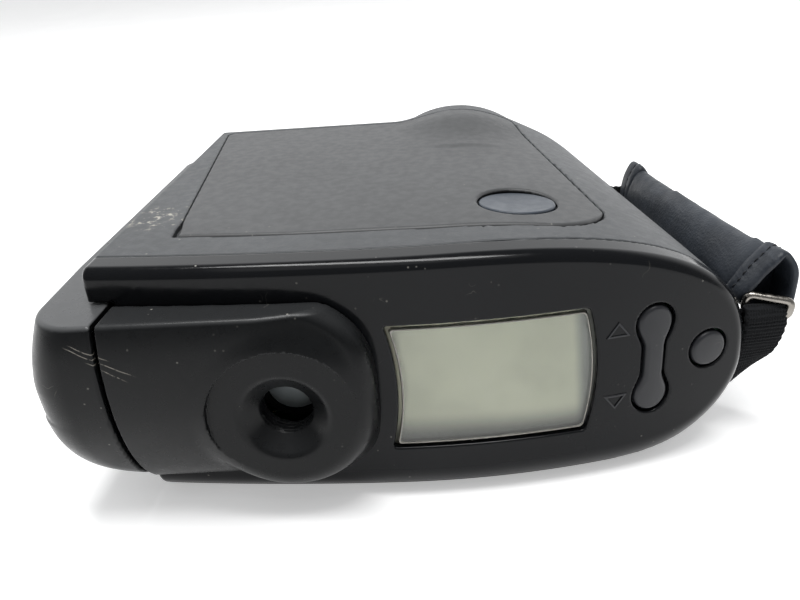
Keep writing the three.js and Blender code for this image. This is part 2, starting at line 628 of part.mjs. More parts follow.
// Flat tape along points given with the tape's across direction at each.
function tape(stops, width, thickness) {
  const points = stops.map(([at]) => new THREE.Vector3(...at));
  const rings = stops.map(([at, across], i) => {
    const before = points[Math.max(0, i - 1)];
    const after = points[Math.min(points.length - 1, i + 1)];
    const along = new THREE.Vector3().subVectors(after, before).normalize();
    const side = new THREE.Vector3(...across).normalize().multiplyScalar(width / 2);
    const face = new THREE.Vector3().crossVectors(along, side).normalize().multiplyScalar(thickness / 2);
    return [[1, 1], [1, -1], [-1, -1], [-1, 1]].map(([s, f]) => new THREE.Vector3(...at)
      .addScaledVector(side, s).addScaledVector(face, f));
  });
  return loft(rings);
}

function frontTape() {
  return tape([[[66.4, 54.6, 27], [0, 0, 1]], [[70, 53.6, 27], [0, 0, 1]], [[74.4, 51, 27.6], [0, 0, 1]]], 10, 1.4);
}

function rearTape() {
  return tape([
    [[84.3, -39.4, 28.4], [1, 0.15, 0]], [[84.1, -39.2, 25], [1, 0.2, 0]], [[83.2, -38, 20.4], [1, 0.35, 0]],
    [[81.2, -35.8, 15.4], [0.8, 0.8, 0]], [[77.6, -32.6, 11.2], [0.3, 1, 0]], [[71, -31.8, 9], [0, 1, 0]],
  ], 9.2, 1.6);
}

function strapRing() {
  const outer = box(-5.9, 5.9, -0.9, 0.9, -2.6, 2.6);
  const hole = box(-4.4, 4.4, -3, 3, -1.1, 1.1);
  return cut(outer, hole).rotate([0, 8, -12]).translate([84.4, -39.6, 31.6]);
}

// ---- assembly -----------------------------------------------------------------------------------
const FINISH = {
  shell: { color: 0x3a3c3f, roughness: 0.6, metalness: 0 },
  gloss: { color: 0x141517, roughness: 0.3, metalness: 0 },
  satin: { color: 0x1d1e20, roughness: 0.45, metalness: 0 },
  rubber: { color: 0x46484a, roughness: 0.85, metalness: 0 },
  button: { color: 0x2b2d31, roughness: 0.5, metalness: 0 },
  shutter: { color: 0x4a505c, roughness: 0.45, metalness: 0 },
  clear: { color: 0xcfd4cc, roughness: 0.1, metalness: 0 },
  display: { color: 0xa3a893, roughness: 0.4, metalness: 0 },
  board: { color: 0x1f5a3a, roughness: 0.6, metalness: 0 },
  steel: { color: 0xb9bcc0, roughness: 0.3, metalness: 1 },
  brass: { color: 0xb08d4f, roughness: 0.35, metalness: 1 },
  cell: { color: 0x55585c, roughness: 0.4, metalness: 0.3 },
  leather: { color: 0x272c35, roughness: 0.6, metalness: 0 },
  webbing: { color: 0x17181a, roughness: 0.9, metalness: 0 },
};

const group = new THREE.Group();

function add(name, manifold, finish) {
  const mesh = new THREE.Mesh(geometryOf(manifold), new THREE.MeshStandardMaterial(FINISH[finish]));
  mesh.name = name;
  group.add(mesh);
}

add('top_shell', topShell(), 'shell');
add('bottom_shell', bottomShell(), 'shell');
add('rear_bezel', rearBezel(), 'gloss');
add('eyepiece_pod', eyepiecePod(), 'satin');
add('battery_door', batteryDoor(), 'satin');
add('top_panel', topPanel(), 'rubber');
add('shutter_button', shutterButton(), 'shutter');
add('rocker_button', rockerButton(), 'button');
add('select_button', selectButton(), 'button');
add('display_window', displayWindow(), 'clear');
add('display_module', displayModule(), 'display');
add('control_board', controlBoard(), 'board');
add('eye_tube', eyeTube(), 'button');
add('lens_ring', lensRing(), 'gloss');
add('lens_barrel', lensBarrel(), 'button');
add('lens_front_element', lensElement(LENS.x, LENS.z, 51, 10, 4.6, 2.2), 'clear');
add('lens_rear_element', lensElement(LENS.x, LENS.z, 37, 8.2, 3, 1.4), 'clear');
add('image_sensor', imageSensor(), 'button');
add('sensor_board', sensorBoard(), 'board');
add('eyepiece_lens', lensElement(EYE.x, EYE.z, -54.2, 5.9, 2.4, 1.2), 'clear');
add('finder_lens', lensElement(EYE.x, EYE.z, 50, 5.9, 2.4, 1.2), 'clear');
add('finder_window', box(EYE.x - 8, EYE.x + 8, 60.2, 61.7, EYE.z - 6, EYE.z + 6), 'clear');
add('flash_window', box(FLASH.x - FLASH.w / 2, FLASH.x + FLASH.w / 2, 60, 61.7,
  FLASH.z - FLASH.h / 2, FLASH.z + FLASH.h / 2), 'clear');
add('flash_reflector', flashReflector(), 'steel');
add('flash_tube', flashTube(), 'clear');
add('flash_capacitor', cylinder('y', [-38, 0, 18.6], 7.8, 34, 20), 'button');
add('light_sensor_window', cylinder('y', [EYE.x, 59, 42.5], 3, 2.7, 20), 'clear');
add('timer_lamp', cylinder('y', [EYE.x + 6.6, 59, 42.5], 2, 2.7, 20), 'clear');
add('up_switch', rearSwitch(ROCKER.x - 1.2, ROCKER.high - 0.2, 3.7), 'button');
add('down_switch', rearSwitch(ROCKER.x - 1.2, ROCKER.low + 0.2, 3.7), 'button');
add('select_switch', box(SELECT.x - 4, SELECT.x + 1, BOARD_Y - 0.6, BOARD_Y - 0.05, SELECT.z - 2.5, SELECT.z + 2.5),
  'steel');
add('release_board', box(SHUTTER.x - 12, SHUTTER.x + 12, SHUTTER.y - 6, SHUTTER.y + 6, 44.8, 46.2), 'board');
add('release_switch', join(
  box(SHUTTER.x - 3, SHUTTER.x + 3, SHUTTER.y - 3, SHUTTER.y + 3, 46.25, 48.9),
  cylinder('z', [SHUTTER.x, SHUTTER.y, 48.8], 1.3, 1, 12)), 'button');
add('main_board', mainBoard(), 'board');
add('processor_chip', onBoard(-12, -20, 24, 24, 2.4), 'button');
add('memory_chip', onBoard(16, -20, 18, 12, 1.6), 'button');
add('flash_transformer', onBoard(-38, -16, 13, 12, 11), 'button');
add('serial_port', socket(-41.5, 12, 9.4, 3.9), 'button');
add('power_jack', socket(-29.5, 8.4, 8.4, 3.1), 'button');
add('port_cover', portCover(), 'satin');
add('battery_tray', batteryTray(), 'button');
add('battery_cell_1', cell(-52.3, CELL.low), 'cell');
add('battery_cell_2', cell(-1.9, CELL.low), 'cell');
add('battery_cell_3', cell(-52.3, CELL.high), 'cell');
add('battery_cell_4', cell(-1.9, CELL.high), 'cell');
add('rear_contact', contactPlate(-53.1), 'steel');
add('front_contact', springContact(), 'steel');
add('hinge_pin_rear', hingePin(REAR_PIN_Y), 'steel');
add('hinge_pin_front', hingePin(FRONT_PIN_Y + 1), 'steel');
add('tripod_bush', tripodBush(), 'brass');
SCREWS.forEach((place, i) => add(`case_screw_${i + 1}`, caseScrew(place), 'steel'));
add('strap_sleeve', strapSleeve(), 'leather');
add('front_strap_tape', frontTape(), 'webbing');
add('rear_strap_tape', rearTape(), 'webbing');
add('strap_ring', strapRing(), 'steel');

export default group;
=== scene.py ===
"""Looks of the compact digital camera: smooth shells, rear controls, lens group and hand strap over the CAD frame."""
import math

import bmesh
import bpy
import numpy as np
from mathutils import Matrix, Vector


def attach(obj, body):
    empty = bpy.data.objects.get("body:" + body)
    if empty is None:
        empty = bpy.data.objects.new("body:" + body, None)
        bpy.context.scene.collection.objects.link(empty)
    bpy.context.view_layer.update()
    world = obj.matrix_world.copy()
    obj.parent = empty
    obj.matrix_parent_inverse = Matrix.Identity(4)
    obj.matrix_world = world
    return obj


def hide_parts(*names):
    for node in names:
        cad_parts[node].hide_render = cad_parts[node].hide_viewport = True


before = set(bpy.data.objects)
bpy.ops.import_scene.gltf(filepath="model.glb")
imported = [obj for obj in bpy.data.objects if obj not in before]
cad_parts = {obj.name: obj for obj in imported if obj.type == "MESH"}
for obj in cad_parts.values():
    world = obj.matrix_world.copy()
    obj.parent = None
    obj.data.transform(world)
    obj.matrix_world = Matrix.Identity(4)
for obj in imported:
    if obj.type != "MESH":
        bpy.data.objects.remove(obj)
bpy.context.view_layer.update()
MM = 0.001

# ---- driving dimensions, millimetres, as in the CAD ----
TOP, STEP_Z, SPLIT_Z = 56.7, 49.4, 30.0
REAR_Y, REAR_APEX, BOW_RIGHT, BOW_LEFT = -60.0, 2.0, 0.00265, 0.0009
BEZEL_DEPTH = 7.4
EYE = (-20.6, -67.4, 26.8)
LENS = (18.4, 29.0)
DISPLAY = (0.6, 41.4, 13.6, 42.3, 1.9)
ROCKER = (56.0, 28.1, 8.8)
SELECT = (68.6, 27.9, 4.1)
SHUTTER = (30.1, -26.1, 8.7)
TIER_LEFT = -54.6
FLASH = (-38, 41)
PORT_X = -36
BUSH_Y = 24
SENSOR_Z, LAMP_X = 42.5, EYE[0] + 6.6
SCREWS = ((-43, -34), (58, -28), (-44, 41), (46, 28))
HINGE_X, HINGE_Z = -63.3, 46
KNUCKLE_LENGTH, KNUCKLES = 5, (-46, 40)
LOWEST = 0.03


# ---- distance helpers ----
def away(u, v):
    return np.sqrt(u * u + v * v)


def both(a, b, r):
    """Intersection of two distances with the meeting edge rounded to radius r."""
    u, v = np.maximum(r + a, 0), np.maximum(r + b, 0)
    return np.minimum(-r, np.maximum(a, b)) + np.sqrt(u * u + v * v)


def less(a, b, r):
    return both(a, -b, r)


def blend(a, b, k):
    """Union of two distances with a soft fillet of reach k."""
    h = np.clip(0.5 + 0.5 * (b - a) / k, 0, 1)
    return b * (1 - h) + a * h - k * h * (1 - h)


def ease(t):
    t = np.clip(t, 0, 1)
    return t * t * (3 - 2 * t)


def oval(u, v, ru, rv, n):
    """Distance to a superellipse quarter with its centre at the origin of u and v."""
    a, b = np.maximum(u, 0) / ru, np.maximum(v, 0) / rv
    g = np.maximum((a**n + b**n) ** (1 / n), 1e-4)
    du = (a / g) ** (n - 1) / ru
    dv = (b / g) ** (n - 1) / rv
    return (g - 1) / np.maximum(np.sqrt(du * du + dv * dv), 1 / np.maximum(ru, rv))


def slab(x, y, z, low, high, r=0.3):
    """Distance to a box between two corners."""
    d = both(np.maximum(low[0] - x, x - high[0]), np.maximum(low[1] - y, y - high[1]), r)
    return both(d, np.maximum(low[2] - z, z - high[2]), r)


def rod(u, v, w, r, w0, w1, edge=0.3):
    """Distance to a round rod of radius r that runs along w."""
    return both(away(u, v) - r, np.maximum(w0 - w, w - w1), edge)


def polygon(x, y, points):
    """Signed distance to a closed outline in the x, y plane."""
    best, inside = 1e9, False
    for (ax, ay), (bx, by) in zip(points, points[1:] + points[:1]):
        ex, ey = bx - ax, by - ay
        t = np.clip(((x - ax) * ex + (y - ay) * ey) / (ex * ex + ey * ey), 0, 1)
        best = np.minimum(best, (x - ax - t * ex) ** 2 + (y - ay - t * ey) ** 2)
        if ay != by:
            cross = ((ay > y) != (by > y)) & (x < ax + (y - ay) * ex / ey)
            inside = inside ^ cross
    return np.where(inside, -1, 1) * np.sqrt(best)


# ---- surfaces ----
def bow(x):
    return np.where(x > REAR_APEX, BOW_RIGHT, BOW_LEFT)


def rear_y(x):
    return REAR_Y + bow(x) * (x - REAR_APEX) ** 2


def behind(x, y):
    """How far a point lies behind the bowed rear face."""
    return (rear_y(x) - y) / np.sqrt(1 + (2 * bow(x) * (x - REAR_APEX)) ** 2)


def side_x(y):
    t = y + 44
    return 78.5 - 0.165 * 0.5 * (t + np.sqrt(t * t + 60))


def section(x, y, z):
    """Distance to the body's cross-section: round to the right, fuller above than below."""
    right = side_x(y)
    upper = oval(x - 12, z - 25, right - 12, TOP - 25, 2.4)
    lower = oval(x - 46, 25 - z, right - 46, 25, 2.6)
    return np.where(z > 25, upper, lower)


def left_edge(x, z):
    """The body's left end, which reaches further left above the step."""
    return np.minimum(TIER_LEFT - x, np.maximum(-60 - x, STEP_Z - z))


def housing(x, y, z):
    """Lens housing, swelling towards the front."""
    swell = 26.6 + 4.3 * ease((y - 26) / 27)
    d = away(x - LENS[0], z - LENS[1]) - swell
    return both(d, np.maximum(24 - y, y - 66.4), 1.8)


def hull(x, y, z):
    """Outside of the main body with its lens housing, before it is split into shells."""
    corner = 2.2 + 10 * ease((x - 38) / 16) * ease((30 - np.abs(z - 25)) / 14)
    body = both(section(x, y, z), y - 62, corner)
    return blend(body, housing(x, y, z), 3.5)


def panel_outline():
    def arc(cx, cy, r, a, b):
        return [(cx + r * math.cos(math.radians(t)), cy + r * math.sin(math.radians(t)))
                for t in np.linspace(a, b, 15)]
    return [(-45.6, -39.4), (-20, -41.6), (10, -42.2), *arc(33, -25.5, 16.5, -78, -8),
            *arc(34, 55, 3, 5, 88), *arc(-54, 55, 3, 90, 172)]


PANEL = panel_outline()


def display_area(x, z, grow):
    """Outline of the display, with its two upright sides curved outward or inward alike."""
    left, right, low, high, bulge = DISPLAY
    t = (z - (low + high) / 2) / ((high - low) / 2)
    curve = bulge * (1 - t * t)
    sides = np.maximum(left + curve - x, x - right - curve) - grow
    return both(sides, np.maximum(low - z, z - high) - grow, 0.9)


def at_rear(x, y, x0):
    """Coordinates across and into the rear face at x0."""
    turn = math.atan(2 * BOW_RIGHT * (x0 - REAR_APEX))
    y0 = float(rear_y(np.float64(x0)))
    c, s = math.cos(turn), math.sin(turn)
    return (x - x0) * c + (y - y0) * s, (y - y0) * c - (x - x0) * s


def dog_bone(u, v, grow):
    """Outline of the rocker: two discs joined by a neck."""
    ends = away(u, np.abs(v) - ROCKER[2]) - 3.8
    neck = both(np.abs(u) - 2.15, np.abs(v) - ROCKER[2], 0.2)
    return blend(ends, neck, 2.6) - grow


# ---- meshes ----
def make_mesh(name, points, faces, normals=None):
    """A linked object from points in millimetres and faces, an array or a list of mixed sizes."""
    mesh = bpy.data.meshes.new(name)
    sizes = np.array([len(f) for f in faces])
    loops = np.concatenate([np.asarray(f) for f in faces]) if isinstance(faces, list) else faces.ravel()
    mesh.vertices.add(len(points))
    mesh.vertices.foreach_set("co", (np.asarray(points) * MM).astype(np.float32).ravel())
    mesh.loops.add(len(loops))
    mesh.loops.foreach_set("vertex_index", loops.astype(np.int32))
    mesh.polygons.add(len(sizes))
    mesh.polygons.foreach_set("loop_start", np.concatenate([[0], np.cumsum(sizes)[:-1]]).astype(np.int32))
    mesh.polygons.foreach_set("use_smooth", np.ones(len(sizes), bool))
    mesh.update(calc_edges=True)
    mesh.validate()
    if normals is not None:
        mesh.normals_split_custom_set_from_vertices(normals.astype(np.float32))
    obj = bpy.data.objects.new(name, mesh)
    bpy.context.scene.collection.objects.link(obj)
    return obj


def skin(name, field, low, high, step, body="camera_body", nodes=(), look=None, slot=None, bowed=False):
    """The zero surface of a distance field, meshed on a grid and drawn onto the true surface."""
    axes = [np.arange(a - 1.5 * step, b + 2.5 * step, step) for a, b in zip(low, high)]
    shape = tuple(len(a) for a in axes)
    x, y, z = np.meshgrid(*axes, indexing="ij", sparse=True)
    d = np.broadcast_to(field(x, y + (rear_y(x) - REAR_Y) * bowed, z), shape)
    inside = d < 0
    cells = tuple(n - 1 for n in shape)
    total, count = np.zeros((int(np.prod(cells)), 3)), np.zeros(int(np.prod(cells)))
    quads = []
    for axis in range(3):
        a, b = [slice(None)] * 3, [slice(None)] * 3
        a[axis], b[axis] = slice(0, -1), slice(1, None)
        a, b = tuple(a), tuple(b)
        hits = np.argwhere(inside[a] != inside[b])
        near, far = d[a][tuple(hits.T)], d[b][tuple(hits.T)]
        place = hits.astype(float)
        place[:, axis] += near / (near - far)
        one, two = (axis + 1) % 3, (axis + 2) % 3
        corner = []
        for p, q in ((1, 1), (0, 1), (0, 0), (1, 0)):
            cell = hits.copy()
            cell[:, one] -= p
            cell[:, two] -= q
            held = tuple(np.clip(cell[:, i], 0, cells[i] - 1) for i in range(3))
            flat = np.ravel_multi_index(held, cells)
            corner.append(flat)
            for i in range(3):
                total[:, i] += np.bincount(flat, place[:, i], len(count))
            count += np.bincount(flat, minlength=len(count))
        quad = np.stack(corner, 1)
        turned = near > 0
        quad[turned] = quad[turned][:, ::-1]
        quads.append(quad)
    used = np.flatnonzero(count)
    index = np.full(len(count), -1)
    index[used] = np.arange(len(used))
    points = total[used] / count[used][:, None]
    points = np.stack([axes[i][0] + points[:, i] * step for i in range(3)], 1)
    points[:, 1] += (rear_y(points[:, 0]) - REAR_Y) * bowed
    start = points.copy()
    probe = 0.02

    def slope(p):
        e = np.eye(3) * probe
        return np.stack([field(*(p + e[i]).T) - field(*(p - e[i]).T) for i in range(3)], 1) / (2 * probe)

    for _ in range(4):
        g = slope(points)
        move = field(*points.T)[:, None] * g / np.maximum((g * g).sum(1), 0.05)[:, None]
        points = start + np.clip(points - move - start, -0.75 * step, 0.75 * step)
    points[:, 2] = np.maximum(points[:, 2], LOWEST)
    normals = slope(points)
    normals /= np.maximum(np.linalg.norm(normals, axis=1), 1e-9)[:, None]
    obj = make_mesh(name, points, index[np.concatenate(quads)], normals)
    return settle(obj, body, nodes, look, slot)


def settle(obj, body="camera_body", nodes=(), look=None, slot=None):
    """Says which body a piece rides, which nodes it replaces, and its look; the slot is not used."""
    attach(obj, body)
    if nodes:
        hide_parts(*([nodes] if isinstance(nodes, str) else nodes))
    if look:
        obj.data.materials.append(look)
    return obj


def lathe(name, profile, centre, segments, **kind):
    """A closed profile of (radius, y) points turned about the y axis through (x, z)."""
    a = np.linspace(0, 2 * math.pi, segments, endpoint=False)
    points = [(centre[0] + r * np.cos(a), np.full(segments, y), centre[1] + r * np.sin(a)) for r, y in profile]
    points = np.concatenate([np.stack(p, 1) for p in points])
    k = np.arange(segments)
    after = (k + 1) % segments
    faces = []
    for i in range(len(profile)):
        j = (i + 1) % len(profile)
        if profile[i][0] == 0 and profile[j][0] == 0:
            continue
        near, far = i * segments, j * segments
        faces.append(np.stack([near + k, near + after, far + after, far + k], 1))
    obj = make_mesh(name, points, np.concatenate(faces))
    shade(obj, 35)
    return settle(obj, **kind)


def shade(obj, angle):
    """Merges doubled points, turns the faces outward and shades smooth where faces meet under the angle."""
    bm = bmesh.new()
    bm.from_mesh(obj.data)
    bmesh.ops.remove_doubles(bm, verts=bm.verts, dist=1e-6)
    bmesh.ops.recalc_face_normals(bm, faces=bm.faces)
    for edge in bm.edges:
        edge.smooth = len(edge.link_faces) != 2 or edge.calc_face_angle() < math.radians(angle)
    for face in bm.faces:
        face.smooth = True
    bm.to_mesh(obj.data)
    bm.free()


# ---- materials ----
class Tree:
    """A material's nodes, wired by short calls."""

    def __init__(self, name):
        self.material = bpy.data.materials.new(name)
        self.material.use_nodes = True
        self.nodes, self.links = self.material.node_tree.nodes, self.material.node_tree.links
        self.nodes.clear()
        self.out = self.nodes.new("ShaderNodeOutputMaterial")
        self.place = self.nodes.new("ShaderNodeTexCoord").outputs["Object"]

    def add(self, kind, inputs=None, out=0, **settings):
        node = self.nodes.new("ShaderNode" + kind)
        for key, value in settings.items():
            setattr(node, key, value)
        for key, value in (inputs or {}).items():
            if isinstance(value, bpy.types.NodeSocket):
                self.links.new(value, node.inputs[key])
            else:
                node.inputs[key].default_value = value
        return node.outputs[out]

    def maths(self, operation, a, b=0.0, clamp=False):
        return self.add("Math", {0: a, 1: b}, operation=operation, use_clamp=clamp)

    def times(self, a, b):
        return self.maths("MULTIPLY", a, b)

    def plus(self, a, b):
        return self.maths("ADD", a, b)

    def cells(self, scale):
        """Outputs of a Voronoi pattern."""
        node = self.nodes.new("ShaderNodeTexVoronoi")
        self.links.new(self.place, node.inputs["Vector"])
        node.inputs["Scale"].default_value = scale
        return node.outputs

    def split(self, vector):
        """The three parts of a vector."""
        node = self.nodes.new("ShaderNodeSeparateXYZ")
        self.links.new(vector, node.inputs[0])
        return node.outputs

    def noise(self, scale, detail=3.0, rough=0.55, vector=None, distortion=0.0):
        return self.add("TexNoise", {"Vector": vector or self.place, "Scale": scale, "Detail": detail,
                                     "Roughness": rough, "Distortion": distortion})

    def stretch(self, turn, scale):
        return self.add("Mapping", {"Vector": self.place, "Rotation": turn, "Scale": scale})

    def ramp(self, factor, low, high, a=0.0, b=1.0):
        return self.add("MapRange", {"Value": factor, "From Min": low, "From Max": high, "To Min": a, "To Max": b},
                        interpolation_type="SMOOTHSTEP")

    def mix(self, factor, a, b):
        node = self.nodes.new("ShaderNodeMix")
        node.data_type = "RGBA"
        for slot, value in ((0, factor), (6, a), (7, b)):
            if isinstance(value, bpy.types.NodeSocket):
                self.links.new(value, node.inputs[slot])
            else:
                node.inputs[slot].default_value = value
        return node.outputs[2]

    def bump(self, height, distance):
        return self.add("Bump", {"Height": height, "Distance": distance, "Strength": 1.0})

    def surface(self, inputs):
        """Ends the material in one principled shader."""
        self.links.new(self.add("BsdfPrincipled", inputs), self.out.inputs["Surface"])
        return self.material


def rgb(hex_code, gain=1.0):
    values = [int(hex_code[i:i + 2], 16) / 255 for i in (0, 2, 4)]
    linear = [v / 12.92 if v < 0.04045 else ((v + 0.055) / 1.055) ** 2.4 for v in values]
    return (*[min(1.0, v * gain) for v in linear], 1)


WORN_PATCH = (-0.0528, -0.026, 0.0567)
SCRATCHES = ((-61.5, 45.6, -47.5, 38.6), (-60.5, 45.9, -51.5, 41.9), (-57.5, 42.6, -49.2, 37.6))


def plastic(name, colour, rough, grain, marks, dust, wear, level=0.35, painted_sheen=None):
    """Moulded plastic: fine moulded grain, slightly uneven gloss, stray fibres, dust specks and rubbed edges, and when
    asked a painted sheen that lightens faces lying flat.
    """
    spread, tint = 0.04, "8d8a82"
    t = Tree(name)
    base = t.mix(t.ramp(t.noise(45, 4), 0.35, 0.65), rgb(colour, 0.94), rgb(colour, 1.06))
    gloss = t.ramp(t.noise(420, 4, 0.6), 0.3, 0.7, rough - spread, rough + spread)
    up = t.split(t.add("NewGeometry", out=1))[2]
    lying = t.ramp(up, 0.2, 0.9, 0.35, 1)
    # painted sheen: faces lying flat, facing up or down, are mixed toward this lighter colour as a painted reflection
    # of the lamps and floor
    if painted_sheen:
        painted_sheen_mask = t.ramp(t.maths("ABSOLUTE", up), 0.3, 0.95, 0, 0.85)
        base = t.mix(painted_sheen_mask, base, rgb(painted_sheen))
    patches = t.cells(95)
    chosen = t.ramp(t.add("SeparateColor", {0: patches["Color"]}), 0.62, 0.66)
    near = t.ramp(patches["Distance"], 0.14, 0.2, 1, 0)
    line = t.maths("ABSOLUTE", t.maths("SUBTRACT", t.noise(330, 0.6, 0.4, distortion=0.5), 0.5))
    fibre = t.times(t.ramp(line, 0.0, 0.014, 1, 0), t.times(chosen, near))
    specks = t.cells(640)
    picked = t.ramp(t.add("SeparateColor", {0: specks["Color"]}), 0.89, 0.91)
    size = t.ramp(specks["Distance"], 0.08, 0.19, 1, 0)
    settled = t.times(t.ramp(t.noise(55, 3), 0.42, 0.66), lying)
    speck = t.times(t.times(picked, size), settled)
    turned = t.add("VectorMath", {0: t.add("Bevel", {"Radius": 0.0006}, samples=4), 1: t.add("NewGeometry", out=1)},
                   out=1, operation="DOT_PRODUCT")
    rub = t.times(t.ramp(turned, 0.985, 0.9), t.ramp(t.noise(260, 4, 0.65), 0.5, 0.7))
    base = t.mix(t.times(rub, wear), base, rgb(tint, 0.6))
    base = t.mix(t.times(fibre, marks), base, rgb(tint))
    base = t.mix(t.times(speck, dust), base, rgb("c9c6bd"))
    if name == "shell":
        worn = t.add("VectorMath", {0: t.place, 1: WORN_PATCH}, out=1, operation="DISTANCE")
        worn = t.times(t.ramp(worn, 0.004, 0.011, 1, 0), t.ramp(t.noise(520, 5, 0.7), 0.56, 0.64))
        base = t.mix(t.times(worn, 0.7), base, rgb("c3beb0"))
    if name in ("satin", "door"):
        for ends in SCRATCHES:
            base = t.mix(t.times(scratch(t, *ends), 0.5), base, rgb("9a958c"))
    gloss = t.maths("ADD", gloss, t.times(speck, 0.4), clamp=True)
    height = t.times(t.noise(grain[0], 3, 0.6), grain[1])
    height = t.plus(height, t.times(speck, 0.03))
    return t.surface({"Base Color": base, "Roughness": gloss, "Specular IOR Level": level,
                      "Normal": t.bump(height, MM)})


def scratch(t, x0, z0, x1, z1):
    """A long hairline scratch across the rear of the door and eyepiece pod, between two points in millimetres."""
    length = math.hypot(x1 - x0, z1 - z0)
    dx, dz = (x1 - x0) / length, (z1 - z0) / length
    across = t.add("VectorMath", {0: t.place, 1: (-dz, 0, dx)}, out=1, operation="DOT_PRODUCT")
    along = t.add("VectorMath", {0: t.place, 1: (dx, 0, dz)}, out=1, operation="DOT_PRODUCT")
    offset = t.maths("SUBTRACT", across, (-dz * x0 + dx * z0) * MM)
    offset = t.plus(offset, t.times(t.maths("SUBTRACT", t.noise(160, 2), 0.5), 0.0009))
    start = (dx * x0 + dz * z0) * MM
    end = start + length * MM
    ends = t.times(t.ramp(along, start, start + 0.002), t.ramp(along, end - 0.003, end, 1, 0))
    broken = t.ramp(t.noise(500, 3, 0.6), 0.4, 0.52)
    return t.times(t.ramp(t.maths("ABSOLUTE", offset), 0.00004, 0.00013, 1, 0), t.times(ends, broken))


def metal(name, colour, rough):
    t = Tree(name)
    base = t.mix(t.ramp(t.noise(300, 4), 0.35, 0.65), rgb(colour, 0.8), rgb(colour))
    gloss = t.ramp(t.noise(700, 4), 0.3, 0.7, rough - 0.08, rough + 0.12)
    return t.surface({"Base Color": base, "Roughness": gloss, "Metallic": 1.0,
                      "Normal": t.bump(t.noise(1500, 4), MM * 0.015)})


def glass(name, colour, rough=0.03, smudge=0.06, bump=0.003):
    t = Tree(name)
    gloss = t.ramp(t.noise(90, 4, 0.6), 0.45, 0.75, rough, rough + smudge)
    base = t.mix(t.ramp(t.noise(60, 3), 0.4, 0.6), rgb(colour), rgb(colour, 0.94))
    return t.surface({"Base Color": base, "Roughness": gloss, "Transmission Weight": 1.0, "IOR": 1.49,
                      "Normal": t.bump(t.noise(60, 1), MM * bump)})


def coated_glass(name):
    """Ground lens with a grey anti-reflection bloom."""
    t = Tree(name)
    base = t.mix(t.ramp(t.noise(120, 3), 0.35, 0.65), rgb("a9b0b2"), rgb("c2c8c9"))
    return t.surface({"Base Color": base, "Roughness": t.ramp(t.noise(300, 3), 0.3, 0.7, 0.1, 0.16),
                      "Transmission Weight": 0.45, "IOR": 1.6,
                      "Normal": t.bump(t.noise(40, 1), MM * 0.01)})


def board(name):
    """Circuit board: solder resist over copper tracks and pads."""
    t = Tree(name)
    tracks = t.add("TexBrick", {"Vector": t.place, "Scale": 260.0, "Mortar Size": 0.03, "Color1": (1, 1, 1, 1),
                                "Color2": (0.7, 0.7, 0.7, 1), "Mortar": (0, 0, 0, 1)})
    dots = t.ramp(t.cells(420)["Distance"], 0.16, 0.22, 1, 0)
    base = t.mix(t.add("RGBToBW", {0: tracks}), rgb("10452b"), rgb("1f6a41"))
    base = t.mix(dots, base, rgb("b99a55"))
    return t.surface({"Base Color": base, "Roughness": t.ramp(dots, 0, 1, 0.45, 0.25),
                      "Metallic": t.times(dots, 0.8), "Normal": t.bump(dots, MM * 0.05)})


def leather(name):
    """Smooth dark blue-grey leather: fine pores, soft creases and lighter worn ridges."""
    t = Tree(name)
    base = t.mix(t.ramp(t.noise(40, 5, 0.6), 0.35, 0.65), rgb("21252b"), rgb("2b3037"))
    crease = t.noise(120, 5, 0.6, t.stretch((0, 0, -0.12), (3, 0.6, 1.4)))
    base = t.mix(t.times(t.ramp(crease, 0.6, 0.72), 0.25), base, rgb("4a4f57"))
    height = t.plus(t.times(t.cells(1500)["Distance"], 0.05), t.times(crease, 0.25))
    return t.surface({"Base Color": base, "Roughness": t.ramp(t.noise(260, 4), 0.3, 0.7, 0.42, 0.58),
                      "Specular IOR Level": 0.3, "Normal": t.bump(height, MM)})


def woven(name, colour):
    """Black woven tape: crossing threads, fuzz and lint."""
    t = Tree(name)
    warp = t.add("TexWave", {"Vector": t.place, "Scale": 520.0, "Distortion": 1.2, "Detail": 2.0}, out=1,
                 bands_direction="X")
    weft = t.add("TexWave", {"Vector": t.place, "Scale": 420.0, "Distortion": 1.6, "Detail": 2.0}, out=1,
                 bands_direction="Z")
    weave = t.maths("MAXIMUM", warp, weft)
    fuzz = t.noise(2600, 4, 0.7)
    base = t.mix(weave, rgb(colour, 0.5), rgb(colour, 1.25))
    base = t.mix(t.times(t.ramp(fuzz, 0.66, 0.74), 0.35), base, rgb("6a6a68"))
    height = t.plus(t.times(weave, 0.12), t.times(fuzz, 0.08))
    return t.surface({"Base Color": base, "Roughness": t.ramp(fuzz, 0.3, 0.7, 0.75, 0.95),
                      "Specular IOR Level": 0.15, "Normal": t.bump(height, MM)})


def cell_wrap():
    """Printed shrink sleeve of a battery cell: dark body, pale band towards the raised end."""
    t = Tree("cell")
    y = t.split(t.place)[1]
    stripe = t.maths("PINGPONG", t.plus(y, 0.0513), 0.0252)
    band = t.ramp(stripe, 0.0178, 0.0182)
    base = t.mix(band, rgb("2d3236"), rgb("a78a4a"))
    base = t.mix(t.ramp(t.noise(300, 5, 0.7), 0.62, 0.7, 0, 0.4), base, rgb("7d7f80"))
    return t.surface({"Base Color": base, "Roughness": t.ramp(t.noise(240, 3), 0.3, 0.7, 0.22, 0.38),
                      "Metallic": t.times(band, 0.8),
                      "Normal": t.bump(t.noise(700, 3), MM * 0.02)})


